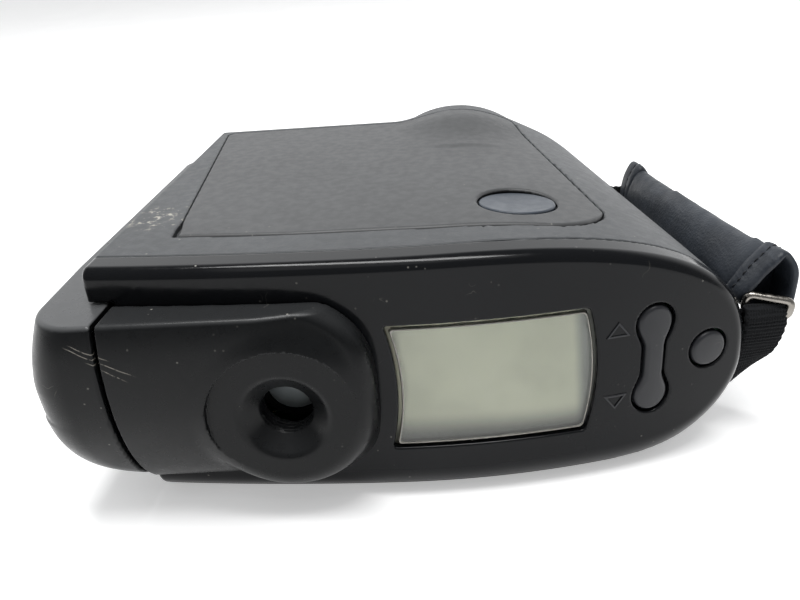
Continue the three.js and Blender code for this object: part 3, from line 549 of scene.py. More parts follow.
# name, colour, roughness, grain (scale, height), fibres, dust, edge wear, specular level
SHELL = plastic("shell", "3e4042", 0.46, (2300, 0.05), 0.12, 0.55, 0.25, 0.34)
BEZEL = plastic("bezel", "0f1012", 0.14, (900, 0.004), 0.12, 0.45, 0.2, 0.15)
# the last colour given to satin and door is a painted sheen on faces lying flat, standing in for reflected light
SATIN = plastic("satin", "0e0f10", 0.3, (2600, 0.012), 0.3, 0.6, 0.04, 0.16, painted_sheen="2a2b2c")
DOOR = plastic("door", "0d0e0f", 0.3, (2600, 0.012), 0.3, 0.6, 0.08, 0.16, painted_sheen="505152")
RUBBER = plastic("panel", "3d3e3f", 0.46, (3600, 0.02), 0.12, 0.35, 0.2, 0.34)
BUTTON = plastic("button", "222326", 0.38, (3000, 0.02), 0.1, 0.25, 0.25, 0.3)
CAP = plastic("shutter", "3a4048", 0.38, (3000, 0.015), 0.15, 0.25, 0.2, 0.3)
INNER = plastic("inner", "101113", 0.5, (2000, 0.04), 0.05, 0.1, 0.1, 0.2)
CHIP = plastic("chip", "1b1c1e", 0.55, (2600, 0.05), 0.1, 0.2, 0.1, 0.3)
SLEEVE = plastic("capacitor", "1c2436", 0.3, (900, 0.02), 0.1, 0.2, 0.1)
# pale lip colour: a painted highlight on the display pane's edge
LIP_PAINTED_HIGHLIGHT = plastic("lip", "8a8780", 0.2, (900, 0.01), 0.1, 0.1, 0.1, 0.5)
THREAD = plastic("thread", "1c1e22", 0.7, (4000, 0.1), 0.05, 0.2, 0.1)
STEEL = metal("steel", "c4c2bb", 0.22)
NICKEL = metal("nickel", "8d8983", 0.24)
BRASS = metal("brass", "b08d4f", 0.3)
BOARD = board("board")
CLEAR = glass("clear", "eef2ee", bump=0.0)
OPTIC = glass("optic", "c9d6da", 0.02, 0.02)
EYE_GLASS = coated_glass("eye_glass")
LAMP = glass("lamp", "e0653a", 0.08, 0.05)
LEATHER = leather("leather")
WEBBING = woven("webbing", "131416")
CELL = cell_wrap()


# ---- shells ----
def shell_back(x, y):
    """The shells' rear end, a fine gap ahead of the bezel."""
    return rear_y(x) + BEZEL_DEPTH + 0.3 - y


def shutter_bore(x, y, gap):
    return away(x - SHUTTER[0], y - SHUTTER[1]) - SHUTTER[2] - gap


def top_shell(x, y, z):
    skin_d, back = hull(x, y, z), shell_back(x, y)
    d = both(both(skin_d, back, 0.3), SPLIT_Z + 0.15 - z, 0.25)
    d = both(d, left_edge(x, z), 0.8)
    cavity = np.maximum(np.maximum(skin_d + 3.0, back - 4), left_edge(x, z) + 2.4)
    d = less(d, cavity, 0.3)
    recess = np.maximum(-skin_d - 1.5, polygon(x, y, PANEL) - 0.1 - 0.5 * ease((-28 - y) / 8))
    d = less(d, np.maximum(recess, 42 - z), 0.25)
    d = less(d, shutter_bore(x, y, 0.35), 0.3)
    return front_holes(d, x, y, z)


def bottom_shell(x, y, z):
    skin_d, back = hull(x, y, z), shell_back(x, y)
    d = both(both(skin_d, back, 0.3), z - SPLIT_Z + 0.15, 0.25)
    d = both(d, TIER_LEFT - x, 0.6)
    cavity = np.maximum(np.maximum(skin_d + 2.2, back - 4), -52.2 - x)
    cavity = np.maximum(cavity, 9.2 - away(x, y - BUSH_Y) - np.maximum(z - 6.2, 0) * 9)
    d = less(d, cavity, 0.3)
    d = less(d, rod(x, y - BUSH_Y, z, 6.8, -2, 12), 0.2)
    for sx, sy in SCREWS:
        u, v = x - sx, y - sy
        d = np.minimum(d, np.maximum(rod(u, v, z, 3.6, 1, 20), skin_d + 0.4))
        d = less(d, np.minimum(rod(u, v, z, 2.7, -2, 2.2), rod(u, v, z, 1.5, -2, 30)), 0.2)
    port = np.maximum(np.maximum(np.abs(x - PORT_X) - 13.3, np.maximum(7.3 - z, z - 19.2)), 50 - y)
    d = less(d, port, 0.3)
    d = less(d, slab(x, y, z, (62, -37.6, 3.9), (90, -24.4, 9.1), 1.2), 0.5)
    return front_holes(d, x, y, z)


def front_holes(d, x, y, z):
    """Cuts the front for the lens, finder, flash, light sensor and self-timer lamp."""
    d = less(d, np.maximum(away(x - LENS[0], z - LENS[1]) - 28.7, 40 - y), 0.4)
    window = both(np.abs(x - EYE[0]) - 8.3, np.abs(z - EYE[2]) - 6.3, 1.2)
    flash = both(np.abs(x - FLASH[0]) - 10.8, np.abs(z - FLASH[1]) - 5.8, 1.2)
    sensor = away(x - EYE[0], z - SENSOR_Z) - 3.3
    lamp = away(x - LAMP_X, z - SENSOR_Z) - 2.3
    return less(d, np.maximum(np.minimum(np.minimum(window, flash), np.minimum(sensor, lamp)), 50 - y), 0.4)


def rear_bezel(x, y, z):
    outer, back = section(x, y, z), behind(x, y)
    round_off = 2.6 + 5.2 * ease((24 - z) / 18)
    d = both(outer, back, round_off)
    d = both(d, y - rear_y(x) - BEZEL_DEPTH, 0.3)
    d = both(d, left_edge(x, z), 1.1)
    hollow = np.maximum(both(outer + 2.2, back + 2.2, 1.2), left_edge(x, z) + 2.2)
    d = less(d, hollow, 0.2)
    d = less(d, display_area(x, z, 0.35), 0.5)
    u, w = at_rear(x, y, ROCKER[0])
    d = less(d, dog_bone(u, z - ROCKER[1], 0.55), 0.45)
    u, w = at_rear(x, y, SELECT[0])
    d = less(d, away(u, z - SELECT[1]) - SELECT[2] - 0.5, 0.45)
    return less(d, away(x - EYE[0], z - EYE[2]) - 11.5, 0.3)


def tier_rear(y, z, shift=0.0):
    """Rear surface of the lower tier, which the door and the eyepiece pod share."""
    return oval(-42 - y + shift, np.abs(z - 35), 27, 35, 2)


def eyepiece_pod(x, y, z):
    r = away(x - EYE[0], z - EYE[2])
    ahead = y - EYE[1]
    surface = tier_rear(y, z, 2.6 * ease((x + 26) / 18))
    boss = both(r - 17.4 - np.maximum(ahead, 0) * 0.3, -ahead, 3.6)
    face = blend(surface, boss, 3.4)
    face = np.maximum(face, np.minimum(15.6 - r, -ahead))
    up = np.maximum(z - 24, 0) / 25.1
    down = np.maximum(24 - z, 0) / 26
    slant = 9.5 * 4.4 / 25.1 * up**3.4 + 7 * 1.7 / 26 * down**0.7
    edge = (x - (-1.8 - 9.5 * up**4.4 - 7 * down**1.7)) / np.sqrt(1 + slant * slant)
    d = both(face, edge, 3)
    d = both(d, z - 49.1, 0.9)
    d = both(d, TIER_LEFT - x, 0.35)
    d = both(d, -behind(x, y) + 0.3, 0.2)
    ribs = 0.16 * np.sin(np.clip(y + 63.8, 0, 9) * 2 * math.pi / 1.1)
    cone = r - (9.5 - ahead * 1.14)
    d = less(d, np.maximum(cone, ahead - 3.7), 0.7)
    return less(d, r - 5.4 - ribs, 0.35)


def door_outside(x, y, z):
    high = np.maximum(z - 35, 0) / 14.1
    left = -73.0 + 2.0 * high**1.8 + 0.04 * np.clip(-y - 35, 0, 40) * high - x
    left = np.where(z > 27, left, oval(-46 - x, 27 - z, 27.4, 27, 2.7))
    d = both(tier_rear(y, z), oval(y - 46.85, np.abs(z - 35), 12.15, 35, 2), 1)
    d = both(d, left, 10.3)
    return both(d, z - 49.1, 0.8)


def battery_door(x, y, z):
    outside = door_outside(x, y, z)
    d = both(outside, x + 55.6, 0.35)
    d = less(d, outside + 1.8, 0.3)
    dx, dz = x - HINGE_X, z - HINGE_Z
    for y0 in KNUCKLES:
        y1 = y0 + KNUCKLE_LENGTH
        web = slab(x, y, z, (-64.8, y0, 46.9), (-61.8, y1, 48.4))
        d = np.minimum(d, np.minimum(rod(dx, dz, y, 1.9, y0, y1), web))
        d = np.maximum(d, -rod(dx, dz, y, 0.96, y0 - 0.5, y1 + 0.5))
    d = np.minimum(d, slab(x, y, z, (-61.5, -5, 3.2), (-53.6, 5, 4.8)))
    for y0 in (-40.5, 32):
        d = np.maximum(d, -slab(x, y, z, (-65.5, y0, 43), (-50, y0 + 7, 52)))
    return d


def top_panel(x, y, z):
    outer = hull(x, y, z)
    near = ease((-28 - y) / 8)
    d = both(outer + 0.05, polygon(x, y, PANEL) + 0.1 + 0.3 * near, 0.35 + 0.6 * near)
    d = np.maximum(d, -outer - 1.2)
    d = less(d, shutter_bore(x, y, 0.3), 0.8)
    return np.maximum(d, 42 - z)


def shutter_button(x, y, z):
    u, v = x - SHUTTER[0], y - SHUTTER[1]
    r = away(u, v)
    top = z - 55.35 + 0.06 * v + 0.07 * u - 0.0035 * r * r
    cap = both(r - SHUTTER[2], np.maximum(top, 54.0 - z - 0.05 * v - 0.05 * u), 0.5)
    return np.minimum(cap, np.minimum(rod(u, v, z, 5.9, 51, 54.6), rod(u, v, z, 7.2, 51, 51.8)))


def rocker_button(x, y, z):
    u, w = at_rear(x, y, ROCKER[0])
    v = z - ROCKER[1]
    area = dog_bone(u, v, 0)
    crown = -w - 0.75 + 0.0042 * v * v + 0.035 * u * u
    d = both(both(area, crown, 0.9), w - 3.4, 0.2)
    flange = slab(u, w, v, (-5.4, 3.1, -9), (5.4, 4.2, 9), 0.2)
    pads = rod(u, np.abs(v) - ROCKER[2], w, 1.5, 3.8, 5)
    return np.minimum(np.minimum(d, flange), np.minimum(pads, rod(w - 4.3, v, u, 0.9, -6.4, 6.4)))


def select_button(x, y, z):
    u, w = at_rear(x, y, SELECT[0])
    v = z - SELECT[1]
    r = away(u, v)
    d = both(both(r - SELECT[2], -w - 0.6 + 0.02 * r * r, 0.8), w - 2.7, 0.2)
    return np.minimum(d, rod(u, v, w, 1.4, 2.6, 3.4))


def display_window(x, y, z):
    depth = behind(x, y)
    return both(both(display_area(x, z, -0.3), depth + 0.4, 0.4), -depth - 1.6, 0.2)


skin("top_shell_skin", top_shell, (-61, -53, 29), (80, 68, 61), 0.7, nodes="top_shell", look=SHELL, slot="shell",
     bowed=True)
skin("bottom_shell_skin", bottom_shell, (-56, -53, 0), (80, 68, 31), 0.8, nodes="bottom_shell", look=SHELL,
     slot="shell", bowed=True)
skin("rear_bezel_skin", rear_bezel, (-61, -60, 0), (79, -52, 57.5), 0.45, nodes="rear_bezel", look=BEZEL, slot="bezel",
     bowed=True)
skin("eyepiece_pod_skin", eyepiece_pod, (-56, -69.2, 0), (0, -40, 49.5), 0.45, nodes="eyepiece_pod", look=SATIN,
     slot="satin")
skin("battery_door_skin", battery_door, (-74, -69.5, 0), (-53, 60, 49.5), 0.65, "battery_door", "battery_door", DOOR,
     "satin")
skin("top_panel_skin", top_panel, (-58, -43, 45), (50, 59, 60.5), 0.55, nodes="top_panel", look=RUBBER, slot="panel")
skin("shutter_button_cap", shutter_button, (20, -36, 50.5), (40, -16, 57), 0.3, "shutter_button", "shutter_button", CAP,
     "shutter")
skin("rocker_button_cap", rocker_button, (48, -60, 14), (64, -44, 43), 0.28, "rocker_button", "rocker_button", BUTTON,
     "button")
skin("select_button_cap", select_button, (63, -56, 22), (75, -42, 33), 0.25, "select_button", "select_button", BUTTON,
     "button")
skin("display_window_pane", display_window, (-1, -60.5, 12), (45, -52, 44), 0.5, nodes="display_window", look=CLEAR,
     slot="clear")


# ---- display and marks ----
def lcd_material():
    """Grey-green liquid crystal cell with painted shade of the frame: a darker band near the right edge and darker
    towards the foot; a faint darker strip along the left edge.
    """
    t = Tree("lcd")
    x, _, z = t.split(t.place)
    base = t.mix(t.ramp(t.noise(35, 3), 0.35, 0.65), rgb("d6d4be"), rgb("dedbc6"))
    # painted shade of the frame: darker towards the foot
    foot = t.ramp(t.plus(z, t.times(x, 0.03)), 0.0148, 0.0212, 1, 0)
    base = t.mix(t.times(foot, 0.88), base, rgb("3b3a3c"))
    # painted shade of the frame: a darker blue-grey band near the right edge
    side = t.ramp(t.plus(x, t.times(z, 0.06)), 0.0402, 0.0432)
    base = t.mix(t.times(side, 0.75), base, rgb("5c6068"))
    # a faint darker strip along the left edge
    edge = t.ramp(x, 0.0012, 0.0036, 1, 0)
    base = t.mix(t.times(edge, 0.35), base, rgb("5c5c4e"))
    return t.surface({"Base Color": base, "Roughness": t.ramp(t.noise(200, 3), 0.3, 0.7, 0.32, 0.42),
                      "Specular IOR Level": 0.2, "Normal": t.bump(t.noise(4000, 2), MM * 0.001)})


LCD = lcd_material()


def display_module(x, y, z):
    depth = behind(x, y)
    return both(both(display_area(x, z, 2.3), depth + 2.4, 0.4), y + 42.9, 0.3)


def window_frame(x, y, z):
    """Thin lip of the pane round the display opening, coloured pale as a painted highlight where its edge catches the
    light.
    """
    depth = behind(x, y)
    ring = np.maximum(display_area(x, z, -0.5), -display_area(x, z, -0.8))
    return both(both(ring, depth + 0.35, 0.08), -depth - 1.3, 0.08)


skin("display_module_cell", display_module, (-3, -58, 10), (47, -42, 46), 0.6, nodes="display_module", look=LCD,
     slot="display")
skin("display_window_lip", window_frame, (-1, -60.5, 12), (45, -52, 44), 0.2, look=LIP_PAINTED_HIGHLIGHT, slot="clear")


def press_mark(name, centre, up):
    """Outline triangle moulded beside the rocker."""
    x0, z0 = centre
    corners = np.array([(-2.2, -1.2), (2.2, -1.2), (0, 1.8)]) * (1, up)
    outline, steps = ((1.2, 0.02), (1.12, 0.34), (0.84, 0.34), (0.76, 0.02)), 6
    n, rings = 3 * steps, len(outline)
    points, faces = [], []
    for scale, lift in outline:
        for i in range(3):
            for s in np.linspace(0, 1, steps, endpoint=False):
                a = corners[i] * scale * (1 - s) + corners[(i + 1) % 3] * scale * s
                x = x0 + a[0]
                points.append((x, float(rear_y(np.float64(x))) - lift + 0.05, z0 + a[1]))
    for ring in range(rings):
        near, far = ring * n, (ring + 1) % rings * n
        for i in range(n):
            j = (i + 1) % n
            faces.append((near + i, near + j, far + j, far + i))
    obj = make_mesh(name, np.array(points), np.array(faces))
    shade(obj, 50)
    return settle(obj, look=BUTTON, slot="bezel")


press_mark("rocker_mark_up", (47.9, 36.4), 1)
press_mark("rocker_mark_down", (47.9, 19.6), -1)


# ---- lens group ----
def rounded(profile, r=0.35, steps=4):
    """The corners of a closed (radius, y) profile cut to small arcs, except those on the axis."""
    out = []
    for i, here in enumerate(profile):
        before, after = np.array(profile[i - 1]), np.array(profile[(i + 1) % len(profile)])
        here = np.array(here, float)
        if here[0] == 0:
            out.append(tuple(here))
            continue
        to_a, to_b = before - here, after - here
        la, lb = np.linalg.norm(to_a), np.linalg.norm(to_b)
        reach = min(r, la * 0.4, lb * 0.4)
        a, b = here + to_a / la * reach, here + to_b / lb * reach
        for t in np.linspace(0, 1, steps):
            out.append(tuple((1 - t) ** 2 * a + 2 * t * (1 - t) * here + t * t * b))
    return out


def element(y, radius, thickness, bulge):
    """Profile of a lens: crowned towards -y, flat behind."""
    curve = [(radius * t, y - bulge * (1 - t * t)) for t in np.linspace(0, 1, 12)]
    return curve + [(radius, y + thickness), (0, y + thickness)]


BAFFLES = [(14.6 - 0.5 * i, 61.2 - i * 0.9) for i in range(5)]
STEPS = [point for r, y in BAFFLES for point in ((r, y), (r, y - 0.35))]
FINDER = (EYE[0], EYE[2])
RING = [(28.4, 55), (28.4, 66.6), (27.2, 68), (23.8, 68), (23.0, 65), (19, 61.6), (19, 55)]
BARREL = [(18, 34), (18, 63), (16.4, 63.6), *STEPS, (11.5, 57.0), (10.4, 56.6), (10.4, 42), (8.6, 42), (8.6, 34)]
lathe("lens_ring_turned", rounded(RING), LENS, 180, nodes="lens_ring", look=BEZEL, slot="bezel")
lathe("lens_barrel_turned", rounded(BARREL, 0.2), LENS, 160, nodes="lens_barrel", look=BUTTON, slot="button")
lathe("lens_front_glass", element(51, 10, 4.6, 2.2), LENS, 96, nodes="lens_front_element", look=OPTIC, slot="clear")
lathe("lens_rear_glass", element(37, 8.2, 3, 1.4), LENS, 96, nodes="lens_rear_element", look=OPTIC, slot="clear")
lathe("eyepiece_glass", element(-54.2, 5.9, 2.4, 1.2), FINDER, 96, nodes="eyepiece_lens", look=EYE_GLASS, slot="clear")
lathe("finder_glass", element(50, 5.9, 2.4, 1.2), FINDER, 96, nodes="finder_lens", look=OPTIC, slot="clear")


# ---- finishes of the parts carried over from the CAD ----
def finish(look, bevel, *nodes):
    """Gives CAD parts their material and rounds their edges by bevel millimetres."""
    for node in nodes:
        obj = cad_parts[node]
        obj.data.materials.clear()
        obj.data.materials.append(look)
        soft = obj.modifiers.new("edges", "BEVEL")
        soft.width, soft.segments, soft.limit_method, soft.angle_limit = bevel * MM, 3, "ANGLE", math.radians(40)
        soft.harden_normals = True


finish(INNER, 0.15, "eye_tube", "battery_tray", "serial_port", "power_jack", "up_switch", "down_switch")
finish(SATIN, 0.3, "port_cover")
finish(BOARD, 0.1, "control_board", "sensor_board", "release_board", "main_board")
finish(CHIP, 0.2, "image_sensor", "processor_chip", "memory_chip", "flash_transformer", "release_switch")
finish(SLEEVE, 0.6, "flash_capacitor")
finish(STEEL, 0.1, "flash_reflector", "select_switch", "rear_contact", "front_contact", "hinge_pin_rear",
       "hinge_pin_front", "case_screw_1", "case_screw_2", "case_screw_3", "case_screw_4")
finish(BRASS, 0.25, "tripod_bush")
finish(CELL, 0.4, "battery_cell_1", "battery_cell_2", "battery_cell_3", "battery_cell_4")
finish(CLEAR, 0.3, "finder_window", "flash_window", "flash_tube", "light_sensor_window")
finish(LAMP, 0.3, "timer_lamp")


# ---- hand strap ----
FRONT_SECTION = [(75.2, 41.2), (78.4, 37), (78.9, 28), (76, 19), (72.6, 15.4), (70, 20), (70.9, 29), (72.4, 37.4)]
REAR_SECTION = [(86.2, 44.8), (89.6, 41.8), (90.2, 36.2), (88.6, 30.6), (84.8, 29.6), (79.6, 31.4), (78.1, 34.8),
                (81.6, 40.3)]
STRAP_FRONT, STRAP_REAR = 50.0, -37.0


def spline(a, b, c, d, f):
    """Smooth run from b to c at fractions f, with a before and d after."""
    return 0.5 * (2 * b + (c - a) * f + (2 * a - 5 * b + 4 * c - d) * f**2 + (3 * b - a - 3 * c + d) * f**3)


def run_length(steps):
    return np.concatenate([[0], np.cumsum(np.linalg.norm(steps, axis=1))])


def resample(curve, length, want):
    return np.stack([np.interp(want, length, curve[:, k]) for k in range(curve.shape[1])], 1)


def unit(vectors):
    return vectors / np.linalg.norm(vectors, axis=1)[:, None]


def closed_spline(points, count):
    """Evenly spread points on a closed smooth curve through the given ones."""
    p = np.array(points, float)
    n = len(p)
    t = np.linspace(0, n, count * 6, endpoint=False)
    i, f = t.astype(int) % n, (t % 1)[:, None]
    curve = spline(p[(i - 1) % n], p[i], p[(i + 1) % n], p[(i + 2) % n], f)
    length = run_length(np.roll(curve, -1, 0) - curve)
    curve = np.vstack([curve, curve[:1]])
    return resample(curve, length, np.linspace(0, length[-1], count, endpoint=False))


def strap_ring_at(y, count, shrink=0.0):
    """Cross-section of the strap at y, drawn in towards its middle by shrink millimetres."""
    t = (STRAP_FRONT - y) / (STRAP_FRONT - STRAP_REAR)
    points = closed_spline((1 - t) * np.array(FRONT_SECTION) + t * np.array(REAR_SECTION), count)
    ahead = np.roll(points, -1, 0) - np.roll(points, 1, 0)
    normal = unit(np.stack([-ahead[:, 1], ahead[:, 0]], 1))
    inward = np.sign(((points.mean(0) - points) * normal).sum()) * normal
    points = points + inward * shrink
    return np.stack([points[:, 0], np.full(count, y), points[:, 1]], 1)


def loft(name, rings, caps=True, angle=60, **kind):
    """A skin over rings of points, ended by caps or closed on itself."""
    n = len(rings[0])
    last = (len(rings) - 1) * n

    def band(near, far):
        return [(near + j, near + (j + 1) % n, far + (j + 1) % n, far + j) for j in range(n)]

    faces = [face for start in range(0, last, n) for face in band(start, start + n)]
    faces += [tuple(range(n))[::-1], tuple(range(last, last + n))] if caps else band(last, 0)
    obj = make_mesh(name, np.concatenate(rings), faces)
    shade(obj, angle)
    return settle(obj, **kind)


def apply_all(obj):
    """Replaces the mesh by what its modifiers make of it."""
    depsgraph = bpy.context.evaluated_depsgraph_get()
    mesh = bpy.data.meshes.new_from_object(obj.evaluated_get(depsgraph))
    obj.modifiers.clear()
    obj.data = mesh


def padded_sleeve():
    """Stuffed leather sleeve: a slim closed form remeshed, swollen by cloth pressure and smoothed."""
    voxel, swell = 1.9 * MM, 0.5 * MM
    ys = [STRAP_FRONT, 49.5, 48.3, *np.linspace(46, -30, 30), -31.5]
    slim = [2.4, 1.6, 0.8, *[0.35] * 30, 0.8]
    rings = [strap_ring_at(y, 40, s) for y, s in zip(ys, slim)]
    obj = loft("strap_sleeve_leather", rings)
    remesh = obj.modifiers.new("remesh", "REMESH")
    remesh.mode, remesh.voxel_size, remesh.use_smooth_shade = "VOXEL", voxel, True
    apply_all(obj)
    rest = np.array([v.co[:] for v in obj.data.vertices])
    cloth = obj.modifiers.new("cloth", "CLOTH")
    cloth.settings.use_pressure = True
    cloth.settings.uniform_pressure_force = 4
    cloth.settings.quality = 6
    cloth.settings.effector_weights.gravity = 0
    cloth.collision_settings.use_self_collision = False
    scene = bpy.context.scene
    for step in range(1, 21):
        scene.frame_set(step)
    apply_all(obj)
    now = np.array([v.co[:] for v in obj.data.vertices])
    move = now - rest
    size = np.linalg.norm(move, axis=1)[:, None]
    now = rest + move * np.minimum(1, swell / np.maximum(size, 1e-9))
    obj.data.vertices.foreach_set("co", now.astype(np.float32).ravel())
    scene.frame_set(1)
    even = obj.modifiers.new("even", "SMOOTH")
    even.factor, even.iterations = 0.5, 4
    fine = obj.modifiers.new("fine", "SUBSURF")
    fine.levels = fine.render_levels = 1
    apply_all(obj)
    for face in obj.data.polygons:
        face.use_smooth = True
    obj.data.materials.clear()
    obj.data.materials.append(LEATHER)
    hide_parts("strap_sleeve")
    return obj


def hem_wave(a):
    """How far the hem's edge wanders along the strap, at angle a round it."""
    return 0.5 * np.sin(a * 2 + 0.6) + 0.25 * np.sin(a * 5)


def sleeve_hem(name, y_in, y_out):
    """Folded and stitched end of the leather sleeve: a rolled wall round a dark mouth."""
    way = 1 if y_out > y_in else -1
    count, wall = 96, 1.5
    a = np.arange(count) * 2 * math.pi / count
    rings = []
    for y, s in ((y_in, 0.9), (y_in + way * 0.8, 0.25), (y_in + way * 2.2, 0.0), (y_in + way * 3.3, 0.1),
                 (y_in + way * 3.7, 0.25), (y_in + way * 4.1, 0.1), (y_out - way * 1.0, 0.0), (y_out - way * 0.3, 0.2),
                 (y_out, wall * 0.5), (y_out - way * 0.2, wall - 0.15), (y_out - way * 1.2, wall + 0.1),
                 (y_in + way, wall + 0.1)):
        ring = strap_ring_at(y, count, s)
        ring[:, 1] += hem_wave(a)
        rings.append(ring)
    return loft(name, rings, look=LEATHER, slot="leather")


def stitches(name, y):
    """Short raised threads in a line round the sleeve."""
    count, radius, rise, sides, cuts = 24, 0.2, 0.22, 6, 5
    ring = strap_ring_at(y, count * 2, 0.2)
    ring[:, 1] += hem_wave(np.arange(count * 2) * math.pi / count)
    middle = ring.mean(0)
    points, faces = [], []
    for i in range(0, count * 2, 2):
        p, q = ring[i], ring[i + 1]
        along = q - p
        q = p + along * 1.35
        out = (p + q) / 2 - middle
        out[1] = 0
        out = out / np.linalg.norm(out)
        side = np.cross(along / np.linalg.norm(along), out)
        base = len(points)
        for s in np.linspace(0, 1, cuts):
            lift = rise * math.sin(math.pi * s)
            r = radius * (0.45 + 0.55 * math.sin(math.pi * s))
            for b in np.linspace(0, 2 * math.pi, sides, endpoint=False):
                points.append(p + (q - p) * s + out * (lift + r * math.cos(b)) + side * r * math.sin(b))
        last = base + (cuts - 1) * sides
        for near in range(base, last, sides):
            for b in range(sides):
                c = (b + 1) % sides
                faces.append((near + b, near + c, near + sides + c, near + sides + b))
        faces.append(tuple(range(base, base + sides))[::-1])
        faces.append(tuple(range(last, last + sides)))
    obj = make_mesh(name, np.array(points), faces)
    shade(obj, 60)
    return settle(obj, look=THREAD, slot="leather")


def curve_through(stops, count):
    """Smooth positions and across directions along an open run of (position, across) stops."""
    p = np.array([[*at, *across] for at, across in stops], float)
    p = np.vstack([2 * p[0] - p[1], p, 2 * p[-1] - p[-2]])
    t = np.linspace(0, len(stops) - 1, count * 8)
    i = np.minimum(t.astype(int), len(stops) - 2)
    f = (t - i)[:, None]
    run = spline(p[i], p[i + 1], p[i + 2], p[i + 3], f)
    length = run_length(np.diff(run[:, :3], axis=0))
    want = np.linspace(0, length[-1], count)
    run = resample(run, length, want)
    return run[:, :3], run[:, 3:], want


def webbing(name, stops, width, thick, node):
    """Woven tape with ribs across it, selvedges along its edges and its flat sides slightly crowned."""
    ring_gap, rib_gap = 0.16, 0.92
    total = curve_through(stops, 40)[2][-1]
    centre, across, at = curve_through(stops, int(total / ring_gap))
    along = unit(np.gradient(centre, axis=0))
    side = unit(across - along * (across * along).sum(1)[:, None])
    face = np.cross(along, side)
    s = np.linspace(0, 2 * math.pi, 44, endpoint=False)
    u = np.sign(np.cos(s)) * np.abs(np.cos(s)) ** 0.28
    v = np.sign(np.sin(s)) * np.abs(np.sin(s)) ** 0.4
    rib = 0.13 * np.cos(at / rib_gap * 2 * math.pi)
    rings = []
    for k in range(len(centre)):
        flat = (thick / 2 + rib[k] * (np.abs(u) < 0.9)) * v
        edge = u * (width / 2 + 0.12 * math.sin(at[k] * 3.1))
        rings.append(centre[k] + side[k] * edge[:, None] + face[k] * flat[:, None])
    return loft(name, rings, angle=50, nodes=node, look=WEBBING, slot="webbing")


def wire_loop(name, centre, half_w, half_h, r, corner, node):
    """Rounded rectangular ring of round wire."""
    path = []
    for sx, sz, start in ((1, 1, 0), (-1, 1, 90), (-1, -1, 180), (1, -1, 270)):
        for t in np.linspace(start, start + 90, 9):
            path.append((sx * (half_w - corner) + corner * math.cos(math.radians(t)),
                         sz * (half_h - corner) + corner * math.sin(math.radians(t))))
    path = np.array(path)
    ahead = unit(np.roll(path, -1, 0) - np.roll(path, 1, 0))
    turn = Matrix.Rotation(math.radians(-12), 3, "Z") @ Matrix.Rotation(math.radians(8), 3, "Y")
    b = np.linspace(0, 2 * math.pi, 20, endpoint=False)
    rings = []
    for (x, z), (dx, dz) in zip(path, ahead):
        out = np.stack([x + dz * r * np.cos(b), r * np.sin(b), z - dx * r * np.cos(b)], 1)
        rings.append(np.array([tuple(turn @ Vector(p)) for p in out]) + centre)
    return loft(name, rings, caps=False, angle=60, nodes=node, look=NICKEL, slot="steel")


padded_sleeve()
sleeve_hem("strap_sleeve_rear_hem", -29.5, -38.2)
sleeve_hem("strap_sleeve_front_hem", 43, 51.2)
stitches("strap_sleeve_rear_stitches", -33.2)
stitches("strap_sleeve_front_stitches", 46.7)
wire_loop("strap_ring_wire", (83.6, -39.6, 33.0), 4.6, 1.9, 0.92, 1.3, "strap_ring")
ROUND_RING = ((-37.9, 25.6), (-38, 29.4), (-38.4, 31.8), (-39.7, 32.9), (-41, 31.8), (-41.1, 29))
REAR_TAPE = [*(((83, y, z), (1, 0.15, 0)) for y, z in ROUND_RING),
             ((82.8, -40.4, 25), (1, 0.2, 0)), ((82.2, -39, 20.4), (1, 0.35, 0)), ((80.9, -36.6, 15.4), (0.8, 0.8, 0)),
             ((77.6, -33.2, 10.9), (0.3, 1, 0)), ((73.5, -31.8, 7.4), (0.05, 1, 0)), ((70, -31.6, 6.6), (0, 1, 0))]
FRONT_PATH = ((56.6, 55.4, 27), (62, 55.2, 27), (66.4, 54.6, 27), (70, 53.6, 27), (74.2, 51, 27.6), (75.2, 46, 28))
webbing("rear_strap_webbing", REAR_TAPE, 9.6, 1.7, "rear_strap_tape")
webbing("front_strap_webbing", [(place, (0, 0, 1)) for place in FRONT_PATH], 10, 1.4, "front_strap_tape")


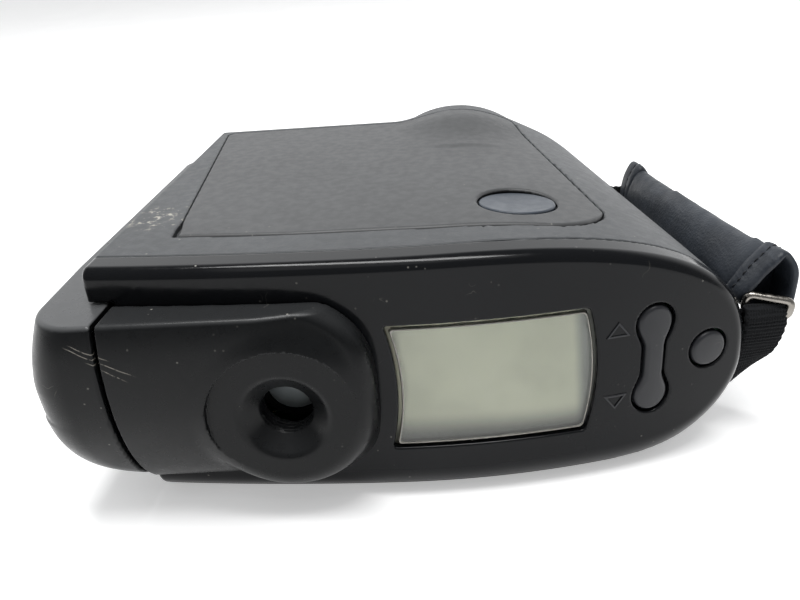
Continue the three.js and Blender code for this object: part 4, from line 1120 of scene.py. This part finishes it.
# ---- stage ----
def stage():
    """Camera as in the photo, pale floor, a wall that lights from the front, and two lamps."""
    camera = bpy.data.objects.new("camera", bpy.data.cameras.new("camera"))
    bpy.context.scene.collection.objects.link(camera)
    camera.data.lens, camera.data.sensor_width = 34.197, 36
    camera.data.clip_start = 0.005
    right = Vector((0.99666932, 0.03824468, -0.07202505))
    up = Vector((0.04825074, 0.43546372, 0.89891224))
    forward = Vector((-0.0657429, 0.89939352, -0.43216799))
    camera.matrix_world = Matrix.Translation((0.013816, -0.193045, 0.112479)) @ Matrix(
        (right, up, -forward)).transposed().to_4x4()
    bpy.context.scene.camera = camera

    reach, sunk = 6.0, 0.0002
    corners = [(sx * reach, sy * reach, -sunk) for sx, sy in ((-1, -1), (1, -1), (1, 1), (-1, 1))]
    floor = make_mesh("floor", np.array(corners) / MM, [(0, 1, 2, 3)])
    t = Tree("floor")
    base = t.mix(t.ramp(t.noise(12, 3), 0.4, 0.6), (0.83, 0.83, 0.83, 1), (0.87, 0.87, 0.87, 1))
    floor.data.materials.append(t.surface({"Base Color": base, "Roughness": 0.9, "Specular IOR Level": 0.1,
                                           "Emission Color": (1, 1, 1, 1), "Emission Strength": 0.38}))

    world = bpy.data.worlds.new("studio")
    bpy.context.scene.world = world
    world.use_nodes = True
    nodes, links = world.node_tree.nodes, world.node_tree.links
    background = nodes["Background"]
    background.inputs["Color"].default_value = (0.98, 0.99, 1.0, 1)
    axes = nodes.new("ShaderNodeSeparateXYZ")
    links.new(nodes.new("ShaderNodeTexCoord").outputs["Generated"], axes.inputs[0])

    def fade(value, low, high, a, b):
        node = nodes.new("ShaderNodeMapRange")
        node.interpolation_type = "SMOOTHSTEP"
        for key, number in (("From Min", low), ("From Max", high), ("To Min", a), ("To Max", b)):
            node.inputs[key].default_value = number
        links.new(value, node.inputs["Value"])
        return node.outputs[0]

    wall = nodes.new("ShaderNodeMath")
    wall.operation = "MULTIPLY_ADD"
    links.new(fade(axes.outputs[1], 0.0, 0.5, 0, 1.0), wall.inputs[0])
    links.new(fade(axes.outputs[2], 0.5, 0.8, 1, 0), wall.inputs[1])
    wall.inputs[2].default_value = 0.3
    links.new(wall.outputs[0], background.inputs["Strength"])

    def lamp(name, place, target, width, depth, power):
        data = bpy.data.lights.new(name, "AREA")
        data.shape, data.size, data.size_y, data.energy = "RECTANGLE", width, depth, power
        obj = bpy.data.objects.new(name, data)
        bpy.context.scene.collection.objects.link(obj)
        obj.location = place
        obj.rotation_euler = (Vector(target) - Vector(place)).to_track_quat("-Z", "Y").to_euler()
        obj.visible_camera = False

    lamp("overhead", (-0.05, -0.05, 1.15), (0, 0, 0), 1.0, 0.22, 16)
    lamp("front_soft", (0, -0.6, 1.4), (0, -0.3, 0), 1.2, 0.8, 3)
    bpy.context.scene.view_settings.view_transform = "Standard"


stage()
